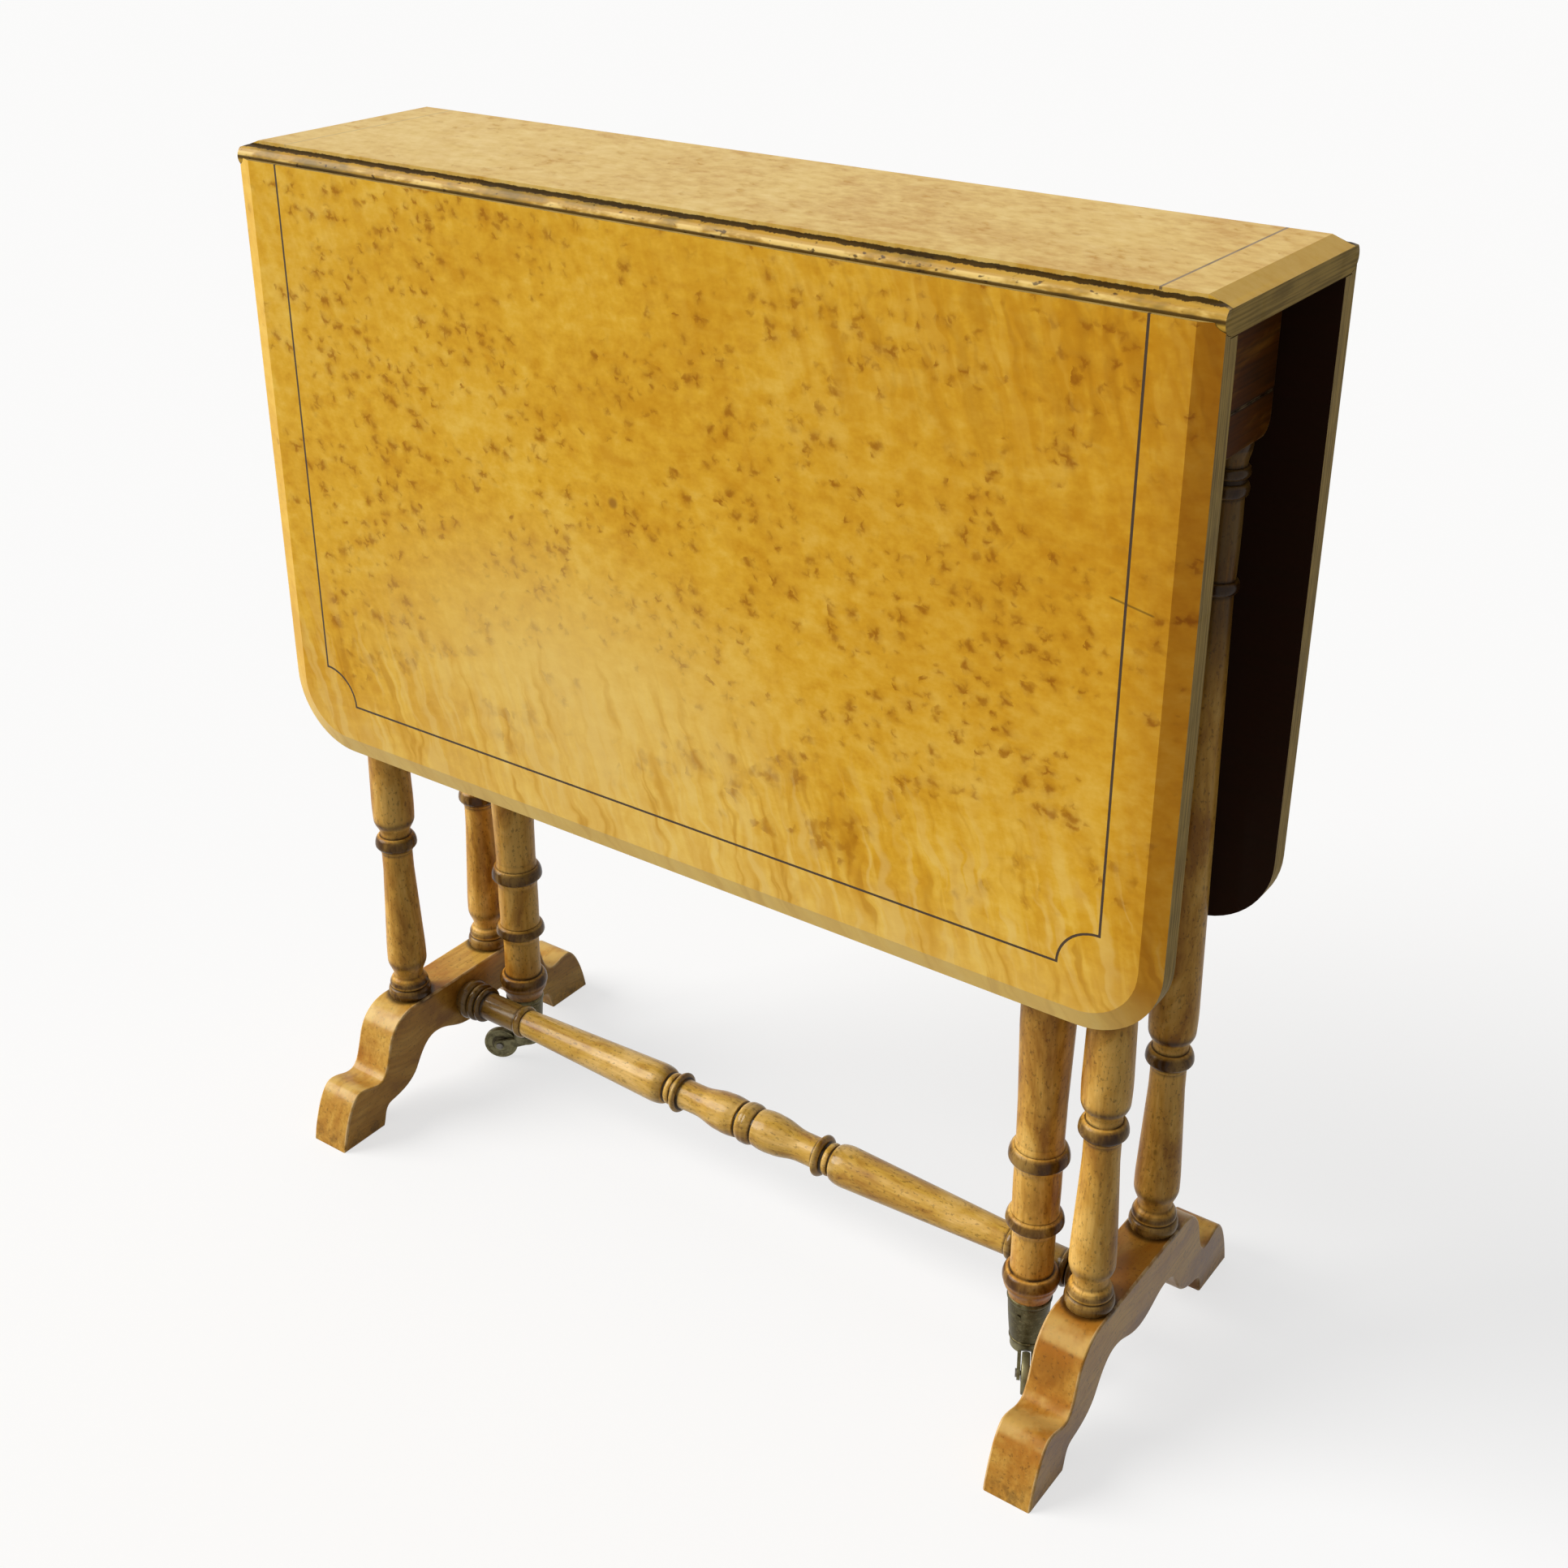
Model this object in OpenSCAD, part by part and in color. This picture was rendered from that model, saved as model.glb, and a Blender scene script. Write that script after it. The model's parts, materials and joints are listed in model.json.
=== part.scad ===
// Sutherland table: a narrow fixed top on two turned trestles, two deep drop leaves on rule joints,
// and a turned gate leg on a castor under each leaf.
// X runs along the table, the front leaf is at -Y, Z is up, and the origin is on the floor at the middle.

/* [Top and leaves] */
// Height of the table top above the floor
table_h = 705; // [695:1:720]
// Length of the fixed top and of each leaf
top_l = 650; // [640:1:680]
// Thickness of the fixed top and of the leaves
board_t = 18; // [17:0.5:19]
// Half the width of the flat on the fixed top
flat_y = 72; // [71:0.5:75]
// Height of the small step above the quarter round of the rule joint
fillet_h = 3; // [2.5:0.25:3.5]
// Radius of the quarter round of the rule joint
ovolo_r = 7; // [6.5:0.25:7.5]
// Width of a leaf from its hinge pins to its long edge
leaf_w = 394; // [350:1:420]
// Radius of the two outer corners of a leaf
leaf_corner_r = 48; // [40:1:60]
// Width of the sloping edge round the top
bevel_w = 12.5; // [10:0.5:16]
// Drop of the sloping edge
bevel_drop = 4.5; // [3:0.5:6]

/* [Stringing] */
// Distance of the end lines from the ends of the top
string_end = 36; // [30:0.5:38]
// Distance of the long line from the long edge of a leaf
string_edge = 38.5; // [34:0.5:44]
// Radius of the hollow corner of the line
notch_r = 24; // [16:1:28]
// Width of the inlaid line
string_w = 1.5; // [1.25:0.25:3]
// Depth of the inlaid line
string_t = 1.5; // [1:0.25:2]

/* [Trestles] */
// Distance of each trestle's middle from the end of the top
trestle_in = 42.5; // [38:0.5:45]
// Thickness of a foot
foot_t = 32; // [28:1:34]
// Half the length of a foot
foot_y = 134; // [132:1:142]
// Height of the flat on a foot
foot_h = 84; // [82:0.5:88]
// Distance of a column from the middle of its trestle
column_y = 42.5; // [40:0.5:45]
// Height of the stretcher's axis
stretcher_z = 62.5; // [60:0.5:66]
// Half the length of the cross rails of a trestle
rail_y = 58; // [57:0.5:60]
// Thickness of the cross rails of a trestle
rail_t = 28; // [26:1:29]
// Height of the lower cross rail
rail_h = 24; // [22:1:26]
// Height of the frieze under the top
frieze_h = 61; // [58:1:64]
// Radius of the widest ring of a column, at its base
column_r = 15.5; // [14.5:0.1:15.8]
// Radius of the outer rings of the stretcher
stretcher_r = 15.3; // [14:0.1:16]

/* [Gates] */
// Distance of a gate leg from the middle of its trestle, along the table
gate_leg_in = 45; // [44:0.5:48]
// Distance of a gate leg from the middle across the table
gate_leg_y = 31.5; // [31:0.5:33]
// Distance of the gate's wooden hinge from the middle across the table
gate_pin_y = 24; // [23.5:0.25:25]
// Thickness of the gate's rail
fly_t = 21; // [18:0.5:22]
// Side of the square block at the top of a gate leg
leg_block = 34; // [33:0.5:35]
// Radius of the rings on a gate leg
leg_r = 18.7; // [18:0.1:19.5]

/* [Castors] */
// Radius of a castor wheel
wheel_r = 13; // [12:0.25:13.5]
// Width of a castor wheel
wheel_w = 5; // [4:0.25:6]
// Distance of the wheel's axle from the swivel
trail = 21; // [19:0.5:22]
// Direction of the rear castor, seen from above
castor_rear_turn = 210; // [0:5:355]
// Direction of the front castor, seen from above
castor_front_turn = 298; // [0:1:359]

/* [Hidden] */
$fn = 64;

// Colours of the pieces
leaf_colour = [0.80, 0.62, 0.24];
top_colour = [0.87, 0.74, 0.48];
ebony_colour = [0.13, 0.09, 0.06];
turned_colour = [0.63, 0.44, 0.22];
frame_colour = [0.40, 0.24, 0.12];
brass_colour = [0.66, 0.56, 0.32];
horn_colour = [0.32, 0.30, 0.20];
steel_colour = [0.55, 0.53, 0.48];

// Clearances
joint_gap = 0.3;      // rule joint, knuckles and fingers
fit_gap = 0.1;        // tenon in its bore, plate in its recess
run_gap = 0.05;       // shaft in a hole that turns
cut = 1;              // how far a cutting solid runs past a face

// Rule joint: the pins lie at the centre of the quarter round
under_z = table_h - board_t;
pin_z = table_h - fillet_h - ovolo_r;
pin_up = pin_z - under_z;
pin_down = table_h - pin_z;
leaf_back = pin_up + 2 * joint_gap;

// Places along the table, kept from the ends of the top
hinge_in = 145;
hinge_x = top_l / 2 - hinge_in;
trestle_x = top_l / 2 - trestle_in;
gate_leg_x = trestle_x - gate_leg_in;

// Stringing
string_x = top_l / 2 - string_end;
string_v = leaf_w - string_edge;

// Table hinges, two to a leaf
hinge_l = 36;
plate_t = 2;
plate_in = 25;
plate_out = 44;
knuckle_r = 4;
plate_low = knuckle_r + 1;
hinge_pin_r = 1.6;
plate_back = plate_low + 1;
slot_roof = 1;
screw_l = 12;
screw_r = 1.6;
screw_head_r = 3.3;
screw_head_h = 1.8;
top_plate_screws = [[-11, -18], [11, -18]];
leaf_plate_screws = [[-11, 20], [11, 20], [0, 36]];

// Trestles
frieze_z = under_z - frieze_h;
rail_z = frieze_z - rail_h;
rail_corner_r = 10;
column_tenon_r = 7;
column_tenon_up = 18;
column_tenon_down = 24;
stretcher_tenon_r = 8;
stretcher_tenon_l = 18;
stretcher_half = trestle_x - foot_t / 2;
long_rail_t = 22;
long_tenon_t = 10;
long_tenon_l = 10;
long_tenon_inset = 8;
top_screw_y = 20;
top_screw_r = 2.2;
top_screw_head_r = 4.2;
top_screw_head_h = 3;
top_screw_bore_r = 5.5;
top_screw_z = frieze_z + 24;
top_screw_end = under_z + 12;

// Gates
fly_gap_low = 2;
fly_gap_high = 1;
knuckle_wood_r = fly_t / 2;
finger_count = 5;
finger_h = frieze_h / finger_count;
finger_start = knuckle_wood_r + 0.8;
gate_block_end = 62;
gate_pin_r = 2.5;
gate_pin_inset = 3;
fly_tenon_t = 10;
fly_tenon_l = 22;
fly_tenon_inset = 10;
block_screw_x = [26, 48];
block_screw_l = 34;
leg_block_h = 88;
leg_core_r = 14;

// Castors
cup_z = 25;
cup_h = 35;
cup_low_r = 11.2;
cup_high_r = 13.9;
cup_wall = 1.3;
cup_floor = 2;
cup_screw_z = 49;
cup_screw_l = 9;
swivel_pin_r = 2.5;
swivel_pin_up = 20;
collar_r = 10.6;
collar_h = 5.7;
cheek_t = 2.2;
cheek_r = 4.4;
hub_r = 5.6;
hub_w = wheel_w + 0.6;
axle_r = 1.5;
axle_head_r = 2.7;
axle_head_t = 1;

// Runs of a turned profile as [radius, distance] points, each without its last point; a ring is
// widest at zm
function ring(z0, zm, z1, edge, widest, n = 8) =
  [for (i = [0 : n - 1]) let (a = 180 * i / n)
    [edge + (widest - edge) * sin(a), zm - (a < 90 ? zm - z0 : z1 - zm) * cos(a)]];
function bead(z0, z1, edge, widest, n = 8) = ring(z0, (z0 + z1) / 2, z1, edge, widest, n);
function flow(z0, r0, z1, r1, n = 6) =
  [for (i = [0 : n - 1]) [r0 + (r1 - r0) * (1 - cos(180 * i / n)) / 2, z0 + (z1 - z0) * i / n]];
function bow(z0, r0, z1, r1, rise, n = 6) =
  [for (i = [0 : n - 1]) [r0 + (r1 - r0) * i / n + rise * 4 * i / n * (1 - i / n),
                          z0 + (z1 - z0) * i / n]];

// One smooth stretch of an outline between two points, drawn by two control points
function curve(a, b, c, d, n = 6) =
  [for (i = [0 : n - 1]) let (t = i / n, u = 1 - t)
    u * u * u * a + 3 * u * u * t * b + 3 * u * t * t * c + t * t * t * d];

function reversed(list) = [for (i = [len(list) - 1 : -1 : 0]) list[i]];

// Shapes drawn at their first size in millimetres, then scaled to a named radius or width and length
function sized(points, r, l) = [for (p = points) [p[0] * r, p[1] * l]];

// Column between the foot and the lower rail, first drawn 518 long with a base of radius 15.5
function column_profile(l) = sized(concat(
  [[0, 0]],
  bow(0, 14.6, 7.5, 14.6, 0.9),
  bow(8.2, 13.4, 14, 12.6, 1),
  flow(14, 12.6, 17.5, 10.6, 4),
  flow(18, 10.6, 31, 14.1, 8),
  bow(31, 14.1, 50, 13.6, 0.15, 4),
  bow(50, 13.6, 106, 11, 0, 2),
  [[11, 106], [10.9, 121.5], [11.7, 122.5], [11.7, 124.2]],
  ring(124.5, 127.8, 135, 10.9, 14.8, 10),
  [[10.8, 135], [10.6, 136.5]],
  flow(137, 10.6, 148, 14.4, 8),
  bow(148, 14.4, 170, 14.6, 0.25, 4),
  bow(170, 14.6, 431, 9.4, 0, 2),
  bead(431, 439, 9.4, 12.2),
  bow(439, 9.6, 486, 9.8, 0.4, 4),
  bead(486, 494, 9.8, 12.2),
  bead(496.5, 503, 9.8, 12.2),
  flow(503, 9.8, 516, 12, 5),
  [[12, 516], [12, 518], [0, 518]]), column_r / 15.5, l / 518);

// Gate leg from the rim of its cup to its square block, first drawn 538 long with rings of radius 18.7
function leg_profile(l) = sized(concat(
  [[0, 0], [13.6, 0]],
  flow(0.5, 13.8, 10.5, 17.2),
  bow(10.5, 17.2, 13, 17.9, 0.1, 2),
  curve([17.9, 13], [18.2, 16.5], [16.6, 19.8], [13.9, 19.8]),
  bow(20, 13.5, 49, 13.4, -0.1, 4),
  flow(49, 13.4, 54.8, 14.8, 4),
  ring(55, 57.5, 64, 14.2, 18.1, 10),
  bow(64.3, 14.9, 70, 14.5, -0.1, 3),
  bow(70, 14.5, 97, 14.6, 0.1, 4),
  flow(97, 14.6, 102.6, 15.8, 4),
  ring(102.8, 105.5, 113.5, 14.8, 18.7, 10),
  bow(113.7, 15.2, 118, 14.6, -0.1, 3),
  [[14.5, 118], [14.8, 145], [16.4, 200]],
  bow(201, 16.4, 508, 16.2, 0.4, 8),
  flow(508, 16.2, 520, 14.2, 4),
  bead(520, 529, 14.2, 16.6, 6),
  flow(529, 14.2, 538, 16.6, 4),
  [[16.6, 538], [0, 538]]), leg_r / 18.7, l / 538);

// Half of the stretcher from its middle bead out to the foot, first drawn 266.5 long with rings of 15.3
function stretcher_profile(l) = sized(concat(
  bow(0, 14.6, 5.5, 13.2, 0.6, 4),
  [[13.2, 5.5], [12, 6.3], [12, 7.2]],
  bow(8, 13.3, 22, 13.9, 0.6),
  flow(22, 13.9, 44, 10.65, 8),
  bow(44, 10.65, 57, 10.8, -0.1, 3),
  ring(58, 60, 63.2, 11, 14.6),
  [[10.6, 63.4]],
  bead(65.2, 69.6, 10.3, 11.6, 6),
  [[10.3, 69.6], [10.5, 70.6]],
  curve([11, 71.2], [13.4, 71.5], [14.2, 75.5], [14.35, 81]),
  [[14.35, 81], [10.2, 204]],
  bead(206, 212, 10.1, 12.2, 6),
  [[10.3, 212], [10.3, 244.5]],
  bead(245, 249.5, 10.6, 13.6, 6),
  bead(250.5, 256.5, 11.2, 14.6),
  bead(257, 265.5, 11.6, 15.3),
  [[12.6, 265.5], [12.6, 266.5]]), stretcher_r / 15.3, l / 266.5);

// Half of a foot's outline as [y, z], from the middle of its top round to the middle of its arch,
// first drawn 134 long and 84 high
function foot_outline(y, h) = sized(concat(
  [[0, 84]],
  curve([54, 84], [67, 84], [77, 76], [81, 64]),
  curve([81, 64], [84.5, 53], [87, 38], [95, 38]),
  curve([95, 38], [101, 37.5], [105, 41.5], [113, 41.5]),
  curve([113, 41.5], [121.5, 41.5], [130, 22], [134, 0], 8),
  [[134, 0]],
  curve([94, 0], [91, 6], [92, 15], [85, 16.5], 5),
  curve([85, 16.5], [76, 18], [64, 20], [57, 30]),
  curve([57, 30], [52, 38], [46, 50], [35, 50.2]),
  curve([35, 50.2], [22, 50.4], [16, 41.5], [0, 41])), y / 134, h / 84);

// Lower corners of a cross rail, rounded
function rail_outline(y, z0, z1, r) = concat(
  [[-y, z1], [-y, z0 + r]],
  [for (a = [195 : 15 : 255]) [-y + r + r * cos(a), z0 + r + r * sin(a)]],
  [[-y + r, z0], [y - r, z0]],
  [for (a = [285 : 15 : 345]) [y - r + r * cos(a), z0 + r + r * sin(a)]],
  [[y, z0 + r], [y, z1]]);

// Placing: the front of the table is the rear turned half round
module on_rear() children();
module on_front() rotate([0, 0, 180]) children();
module at_pins() translate([0, flat_y, pin_z]) children();
module hanging() at_pins() rotate([-90, 0, 0]) children();
module at_hinges() for (x = [-hinge_x, hinge_x]) translate([x, 0, 0]) children();
module at_gate_pin() translate([0, gate_pin_y, 0]) children();
module at_gate_leg() translate([-gate_leg_x, gate_leg_y, 0]) children();
module bar_x(r, l) rotate([0, 90, 0]) cylinder(r = r, h = l, center = true);
module along_x(l) rotate([90, 0, 90]) linear_extrude(l, center = true) children();
module along_y(l) rotate([90, 0, 0]) linear_extrude(l, center = true) children();

// Countersunk wood screw pointing up, its head flush with z = 0
module wood_screw(l, r, head_r, head_h, gap = 0) {
  cylinder(r = r + gap, h = l + gap);
  cylinder(r1 = head_r + gap, r2 = r + gap, h = head_h);
}
module screws_at(places, gap = 0)
  for (p = places) translate([p[0], p[1], -plate_low])
    wood_screw(screw_l, screw_r, screw_head_r, screw_head_h, gap);

// Table hinge, in the frame of its pin with the leaf raised
module knuckle(x0, x1) translate([(x0 + x1) / 2, 0, 0]) bar_x(knuckle_r, x1 - x0);
module pin_hole(gap) bar_x(hinge_pin_r + gap, hinge_l + 2 * cut);
module plate_slab(y0, y1, gap = 0)
  translate([-hinge_l / 2 - gap, y0 - gap, -pin_up - cut])
    cube([hinge_l + 2 * gap, y1 - y0 + 2 * gap, pin_up + cut - plate_low + plate_t]);
module hinge_plate_top() difference() {
  union() {
    translate([-hinge_l / 2, -plate_in, -plate_low]) cube([hinge_l, plate_in, plate_t]);
    knuckle(-hinge_l / 2, -hinge_l / 6);
    knuckle(hinge_l / 6, hinge_l / 2);
  }
  translate([-hinge_l / 6 - joint_gap, -plate_back, -plate_low - cut])
    cube([hinge_l / 3 + 2 * joint_gap, plate_back + ovolo_r, board_t]);
  pin_hole(0);
  screws_at(top_plate_screws, run_gap);
}
module hinge_plate_leaf() difference() {
  union() {
    translate([-hinge_l / 2, plate_back, -plate_low]) cube([hinge_l, plate_out - plate_back, plate_t]);
    translate([-hinge_l / 6, 0, -plate_low]) cube([hinge_l / 3, plate_back + cut, plate_t]);
    knuckle(-hinge_l / 6, hinge_l / 6);
  }
  pin_hole(run_gap);
  screws_at(leaf_plate_screws, run_gap);
}
// Room in the fixed top for the knuckles and for the leaf's plate as it turns
module hinge_slot() {
  bar_x(plate_low + joint_gap, hinge_l + 4 * joint_gap);
  translate([-hinge_l / 2 - joint_gap * 2, -plate_back, -pin_up - cut])
    cube([hinge_l + 4 * joint_gap, plate_back + ovolo_r + cut, pin_up + cut - slot_roof]);
}

// Fixed top
module top_stringing_solid()
  for (x = [-string_x, string_x])
    translate([x - string_w / 2, -flat_y, table_h - string_t]) cube([string_w, 2 * flat_y, string_t]);
module top_board() color(top_colour) difference() {
  union() {
    translate([-top_l / 2, -flat_y, under_z]) cube([top_l, 2 * flat_y, board_t]);
    for (side = [0, 180]) rotate([0, 0, side]) at_pins() intersection() {
      bar_x(ovolo_r, top_l);
      translate([-top_l / 2, -cut, -ovolo_r - cut]) cube([top_l, ovolo_r + 2 * cut, 2 * ovolo_r + 2 * cut]);
    }
  }
  for (side = [0, 180]) rotate([0, 0, side]) {
    translate([top_l / 2, 0, table_h]) along_y(2 * flat_y + 4 * ovolo_r)
      polygon([[-bevel_w, 0], [0, -bevel_drop], [cut, -bevel_drop], [cut, cut], [-bevel_w, cut]]);
    at_pins() at_hinges() {
      hinge_slot();
      plate_slab(-plate_in, 0, fit_gap);
      screws_at(top_plate_screws, run_gap);
    }
  }
  top_stringing_solid();
  top_screw_places() top_screw(run_gap);
}
module top_stringing() color(ebony_colour) top_stringing_solid();

// Leaf in the frame of its pins, raised: y runs out from the pins and z = pin_down is its show face
module leaf_string_solid() translate([0, 0, pin_down - string_t]) {
  for (x = [-string_x, string_x])
    translate([x - string_w / 2, joint_gap, 0]) cube([string_w, string_v - notch_r - joint_gap, string_t]);
  translate([-string_x + notch_r, string_v - string_w / 2, 0])
    cube([2 * (string_x - notch_r), string_w, string_t]);
  for (side = [-1, 1]) translate([side * string_x, string_v, 0]) intersection() {
    difference() {
      cylinder(r = notch_r + string_w / 2, h = string_t);
      translate([0, 0, -cut]) cylinder(r = notch_r - string_w / 2, h = string_t + 2 * cut);
    }
    translate([side > 0 ? -2 * notch_r : -string_w / 2, -2 * notch_r, 0])
      cube([2 * notch_r + string_w / 2, 2 * notch_r + string_w / 2, string_t]);
  }
}
module leaf_slab() {
  edge_z = pin_down - bevel_drop;
  straight = top_l / 2 - leaf_corner_r;
  along_x(2 * straight)
    polygon([[joint_gap, -pin_up], [leaf_w, -pin_up], [leaf_w, edge_z],
             [leaf_w - bevel_w, pin_down], [joint_gap, pin_down]]);
  translate([0, (leaf_w - leaf_corner_r + joint_gap) / 2, 0]) along_y(leaf_w - leaf_corner_r - joint_gap)
    polygon([[-top_l / 2, -pin_up], [top_l / 2, -pin_up], [top_l / 2, edge_z],
             [top_l / 2 - bevel_w, pin_down], [bevel_w - top_l / 2, pin_down], [-top_l / 2, edge_z]]);
  for (side = [-1, 1]) translate([side * straight, leaf_w - leaf_corner_r, 0]) rotate_extrude()
    polygon([[0, -pin_up], [leaf_corner_r, -pin_up], [leaf_corner_r, edge_z],
             [leaf_corner_r - bevel_w, pin_down], [0, pin_down]]);
}
module leaf() color(leaf_colour) hanging() difference() {
  leaf_slab();
  bar_x(ovolo_r + joint_gap, top_l + 2 * cut);
  translate([-top_l / 2 - cut, -cut, -pin_up - cut]) cube([top_l + 2 * cut, leaf_back + cut, pin_up + cut]);
  leaf_string_solid();
  at_hinges() {
    plate_slab(0, plate_out, fit_gap);
    screws_at(leaf_plate_screws, run_gap);
  }
}
module leaf_front() on_front() leaf();
module leaf_rear() on_rear() leaf();
module leaf_stringing() color(ebony_colour) hanging() leaf_string_solid();
module stringing_front() on_front() leaf_stringing();
module stringing_rear() on_rear() leaf_stringing();

// Hinge sets
module hinge_plates_top() color(brass_colour)
  for (side = [0, 180]) rotate([0, 0, side]) at_pins() at_hinges() hinge_plate_top();
module hinge_plates_front() color(brass_colour) on_front() hanging() at_hinges() hinge_plate_leaf();
module hinge_plates_rear() color(brass_colour) on_rear() hanging() at_hinges() hinge_plate_leaf();
module hinge_pins() color(steel_colour)
  for (side = [0, 180]) rotate([0, 0, side]) at_pins() at_hinges() bar_x(hinge_pin_r, hinge_l);
module hinge_screws_top() color(brass_colour)
  for (side = [0, 180]) rotate([0, 0, side]) at_pins() at_hinges() screws_at(top_plate_screws);
module hinge_screws_front() color(brass_colour) on_front() hanging() at_hinges() screws_at(leaf_plate_screws);
module hinge_screws_rear() color(brass_colour) on_rear() hanging() at_hinges() screws_at(leaf_plate_screws);

// Frieze: one long rail between two end blocks
module long_tenons(gap = 0)
  translate([-trestle_x + rail_t / 2 - long_tenon_l - gap, -long_tenon_t / 2 - gap,
             frieze_z + long_tenon_inset - gap])
    cube([2 * (trestle_x - rail_t / 2 + long_tenon_l + gap), long_tenon_t + 2 * gap,
          frieze_h - 2 * long_tenon_inset + 2 * gap]);
module long_rail() color(frame_colour) difference() {
  union() {
    translate([-trestle_x + rail_t / 2, -long_rail_t / 2, frieze_z])
      cube([2 * trestle_x - rail_t, long_rail_t, frieze_h]);
    long_tenons();
  }
  for (side = [0, 180]) rotate([0, 0, side]) block_screws(run_gap);
}
module top_screw(gap = 0)
  wood_screw(top_screw_end - top_screw_z, top_screw_r, top_screw_head_r, top_screw_head_h, gap);
module top_screw_places()
  for (x = [-trestle_x, trestle_x], y = [-top_screw_y, top_screw_y]) translate([x, y, top_screw_z]) children();
module top_screw_bores() top_screw_places() {
  top_screw(run_gap);
  translate([0, 0, rail_z - cut - top_screw_z]) cylinder(r = top_screw_bore_r, h = top_screw_z - rail_z + cut);
}
module top_screws() color(steel_colour) top_screw_places() top_screw();
module frieze_block(x) color(frame_colour) difference() {
  translate([x - rail_t / 2, -rail_y, frieze_z]) cube([rail_t, 2 * rail_y, frieze_h]);
  long_tenons(fit_gap);
  top_screw_bores();
}
module frieze_block_left() frieze_block(-trestle_x);
module frieze_block_right() frieze_block(trestle_x);

// Trestle: cross rail, two columns and a foot
module trestle_rail(x) color(frame_colour) difference() {
  translate([x, 0, 0]) along_x(rail_t) polygon(rail_outline(rail_y, rail_z, frieze_z, rail_corner_r));
  for (y = [-column_y, column_y]) translate([x, y, rail_z - cut])
    cylinder(r = column_tenon_r + fit_gap, h = column_tenon_up + cut + fit_gap);
  top_screw_bores();
}
module trestle_rail_left() trestle_rail(-trestle_x);
module trestle_rail_right() trestle_rail(trestle_x);

module column(x, y) color(turned_colour) translate([x, y, 0]) {
  translate([0, 0, foot_h]) rotate_extrude() polygon(column_profile(rail_z - foot_h));
  translate([0, 0, rail_z - cut]) cylinder(r = column_tenon_r, h = column_tenon_up + cut);
  translate([0, 0, foot_h - column_tenon_down]) cylinder(r = column_tenon_r, h = column_tenon_down + cut);
}
module column_front_left() column(-trestle_x, -column_y);
module column_rear_left() column(-trestle_x, column_y);
module column_front_right() column(trestle_x, -column_y);
module column_rear_right() column(trestle_x, column_y);

module foot(x) color(turned_colour) difference() {
  half = foot_outline(foot_y, foot_h);
  translate([x, 0, 0]) along_x(foot_t)
    polygon(concat(half, reversed([for (p = half) if (p[0] > 0) [-p[0], p[1]]])));
  for (y = [-column_y, column_y]) translate([x, y, foot_h - column_tenon_down - fit_gap])
    cylinder(r = column_tenon_r + fit_gap, h = column_tenon_down + cut);
  translate([0, 0, stretcher_z]) bar_x(stretcher_tenon_r + fit_gap,
                                       2 * (stretcher_half + stretcher_tenon_l + fit_gap));
}
module foot_left() foot(-trestle_x);
module foot_right() foot(trestle_x);

module stretcher() color(turned_colour) translate([0, 0, stretcher_z]) {
  half = stretcher_profile(stretcher_half);
  rotate([0, 90, 0]) rotate_extrude()
    polygon(concat([[0, -stretcher_half]],
                   reversed([for (p = half) if (p[1] > 0) [p[0], -p[1]]]), half,
                   [[0, stretcher_half]]));
  bar_x(stretcher_tenon_r, 2 * (stretcher_half + stretcher_tenon_l));
}

// Gate, in the frame of the rear one: its leg is at -X and its fixed block at +X
function finger_z(k) = frieze_z + k * finger_h;
module finger(k, side, gap)
  translate([0, 0, finger_z(k) + gap]) linear_extrude(finger_h - 2 * gap) {
    circle(r = knuckle_wood_r);
    translate([side > 0 ? 0 : -finger_start - cut, -knuckle_wood_r])
      square([finger_start + cut, 2 * knuckle_wood_r]);
  }
module block_screws(gap = 0)
  for (x = block_screw_x) translate([x, gate_pin_y + knuckle_wood_r, frieze_z + frieze_h / 2])
    rotate([90, 0, 0]) wood_screw(block_screw_l, screw_r, screw_head_r, screw_head_h, gap);
module gate_block() color(frame_colour) difference() {
  union() {
    translate([finger_start, long_rail_t / 2, frieze_z])
      cube([gate_block_end - finger_start, gate_pin_y + knuckle_wood_r - long_rail_t / 2, frieze_h]);
    at_gate_pin() for (k = [0 : 2 : finger_count - 1]) finger(k, 1, 0);
  }
  at_gate_pin() translate([0, 0, frieze_z + gate_pin_inset]) cylinder(r = gate_pin_r, h = frieze_h);
  block_screws(run_gap);
}
module gate_block_front() on_front() gate_block();
module gate_block_rear() on_rear() gate_block();
module gate_block_screws() color(steel_colour) for (side = [0, 180]) rotate([0, 0, side]) block_screws();

module gate_pin() color(steel_colour) at_gate_pin()
  translate([0, 0, frieze_z + gate_pin_inset]) cylinder(r = gate_pin_r, h = frieze_h - gate_pin_inset);
module gate_pin_front() on_front() gate_pin();
module gate_pin_rear() on_rear() gate_pin();

module fly_tenon(gap = 0)
  translate([-gate_leg_x + leg_block / 2 - fly_tenon_l - gap, gate_pin_y - fly_tenon_t / 2 - gap,
             frieze_z + fly_tenon_inset - gap])
    cube([fly_tenon_l + gap + cut, fly_tenon_t + 2 * gap, frieze_h - 2 * fly_tenon_inset + 2 * gap]);
module fly_rail() color(frame_colour) difference() {
  union() {
    translate([-gate_leg_x + leg_block / 2, gate_pin_y - fly_t / 2, frieze_z + fly_gap_low])
      cube([gate_leg_x - leg_block / 2 - finger_start, fly_t, frieze_h - fly_gap_low - fly_gap_high]);
    at_gate_pin() for (k = [1 : 2 : finger_count - 1]) finger(k, -1, joint_gap);
    fly_tenon();
  }
  at_gate_pin() translate([0, 0, frieze_z]) cylinder(r = gate_pin_r + run_gap, h = frieze_h);
}
module fly_rail_front() on_front() fly_rail();
module fly_rail_rear() on_rear() fly_rail();

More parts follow.
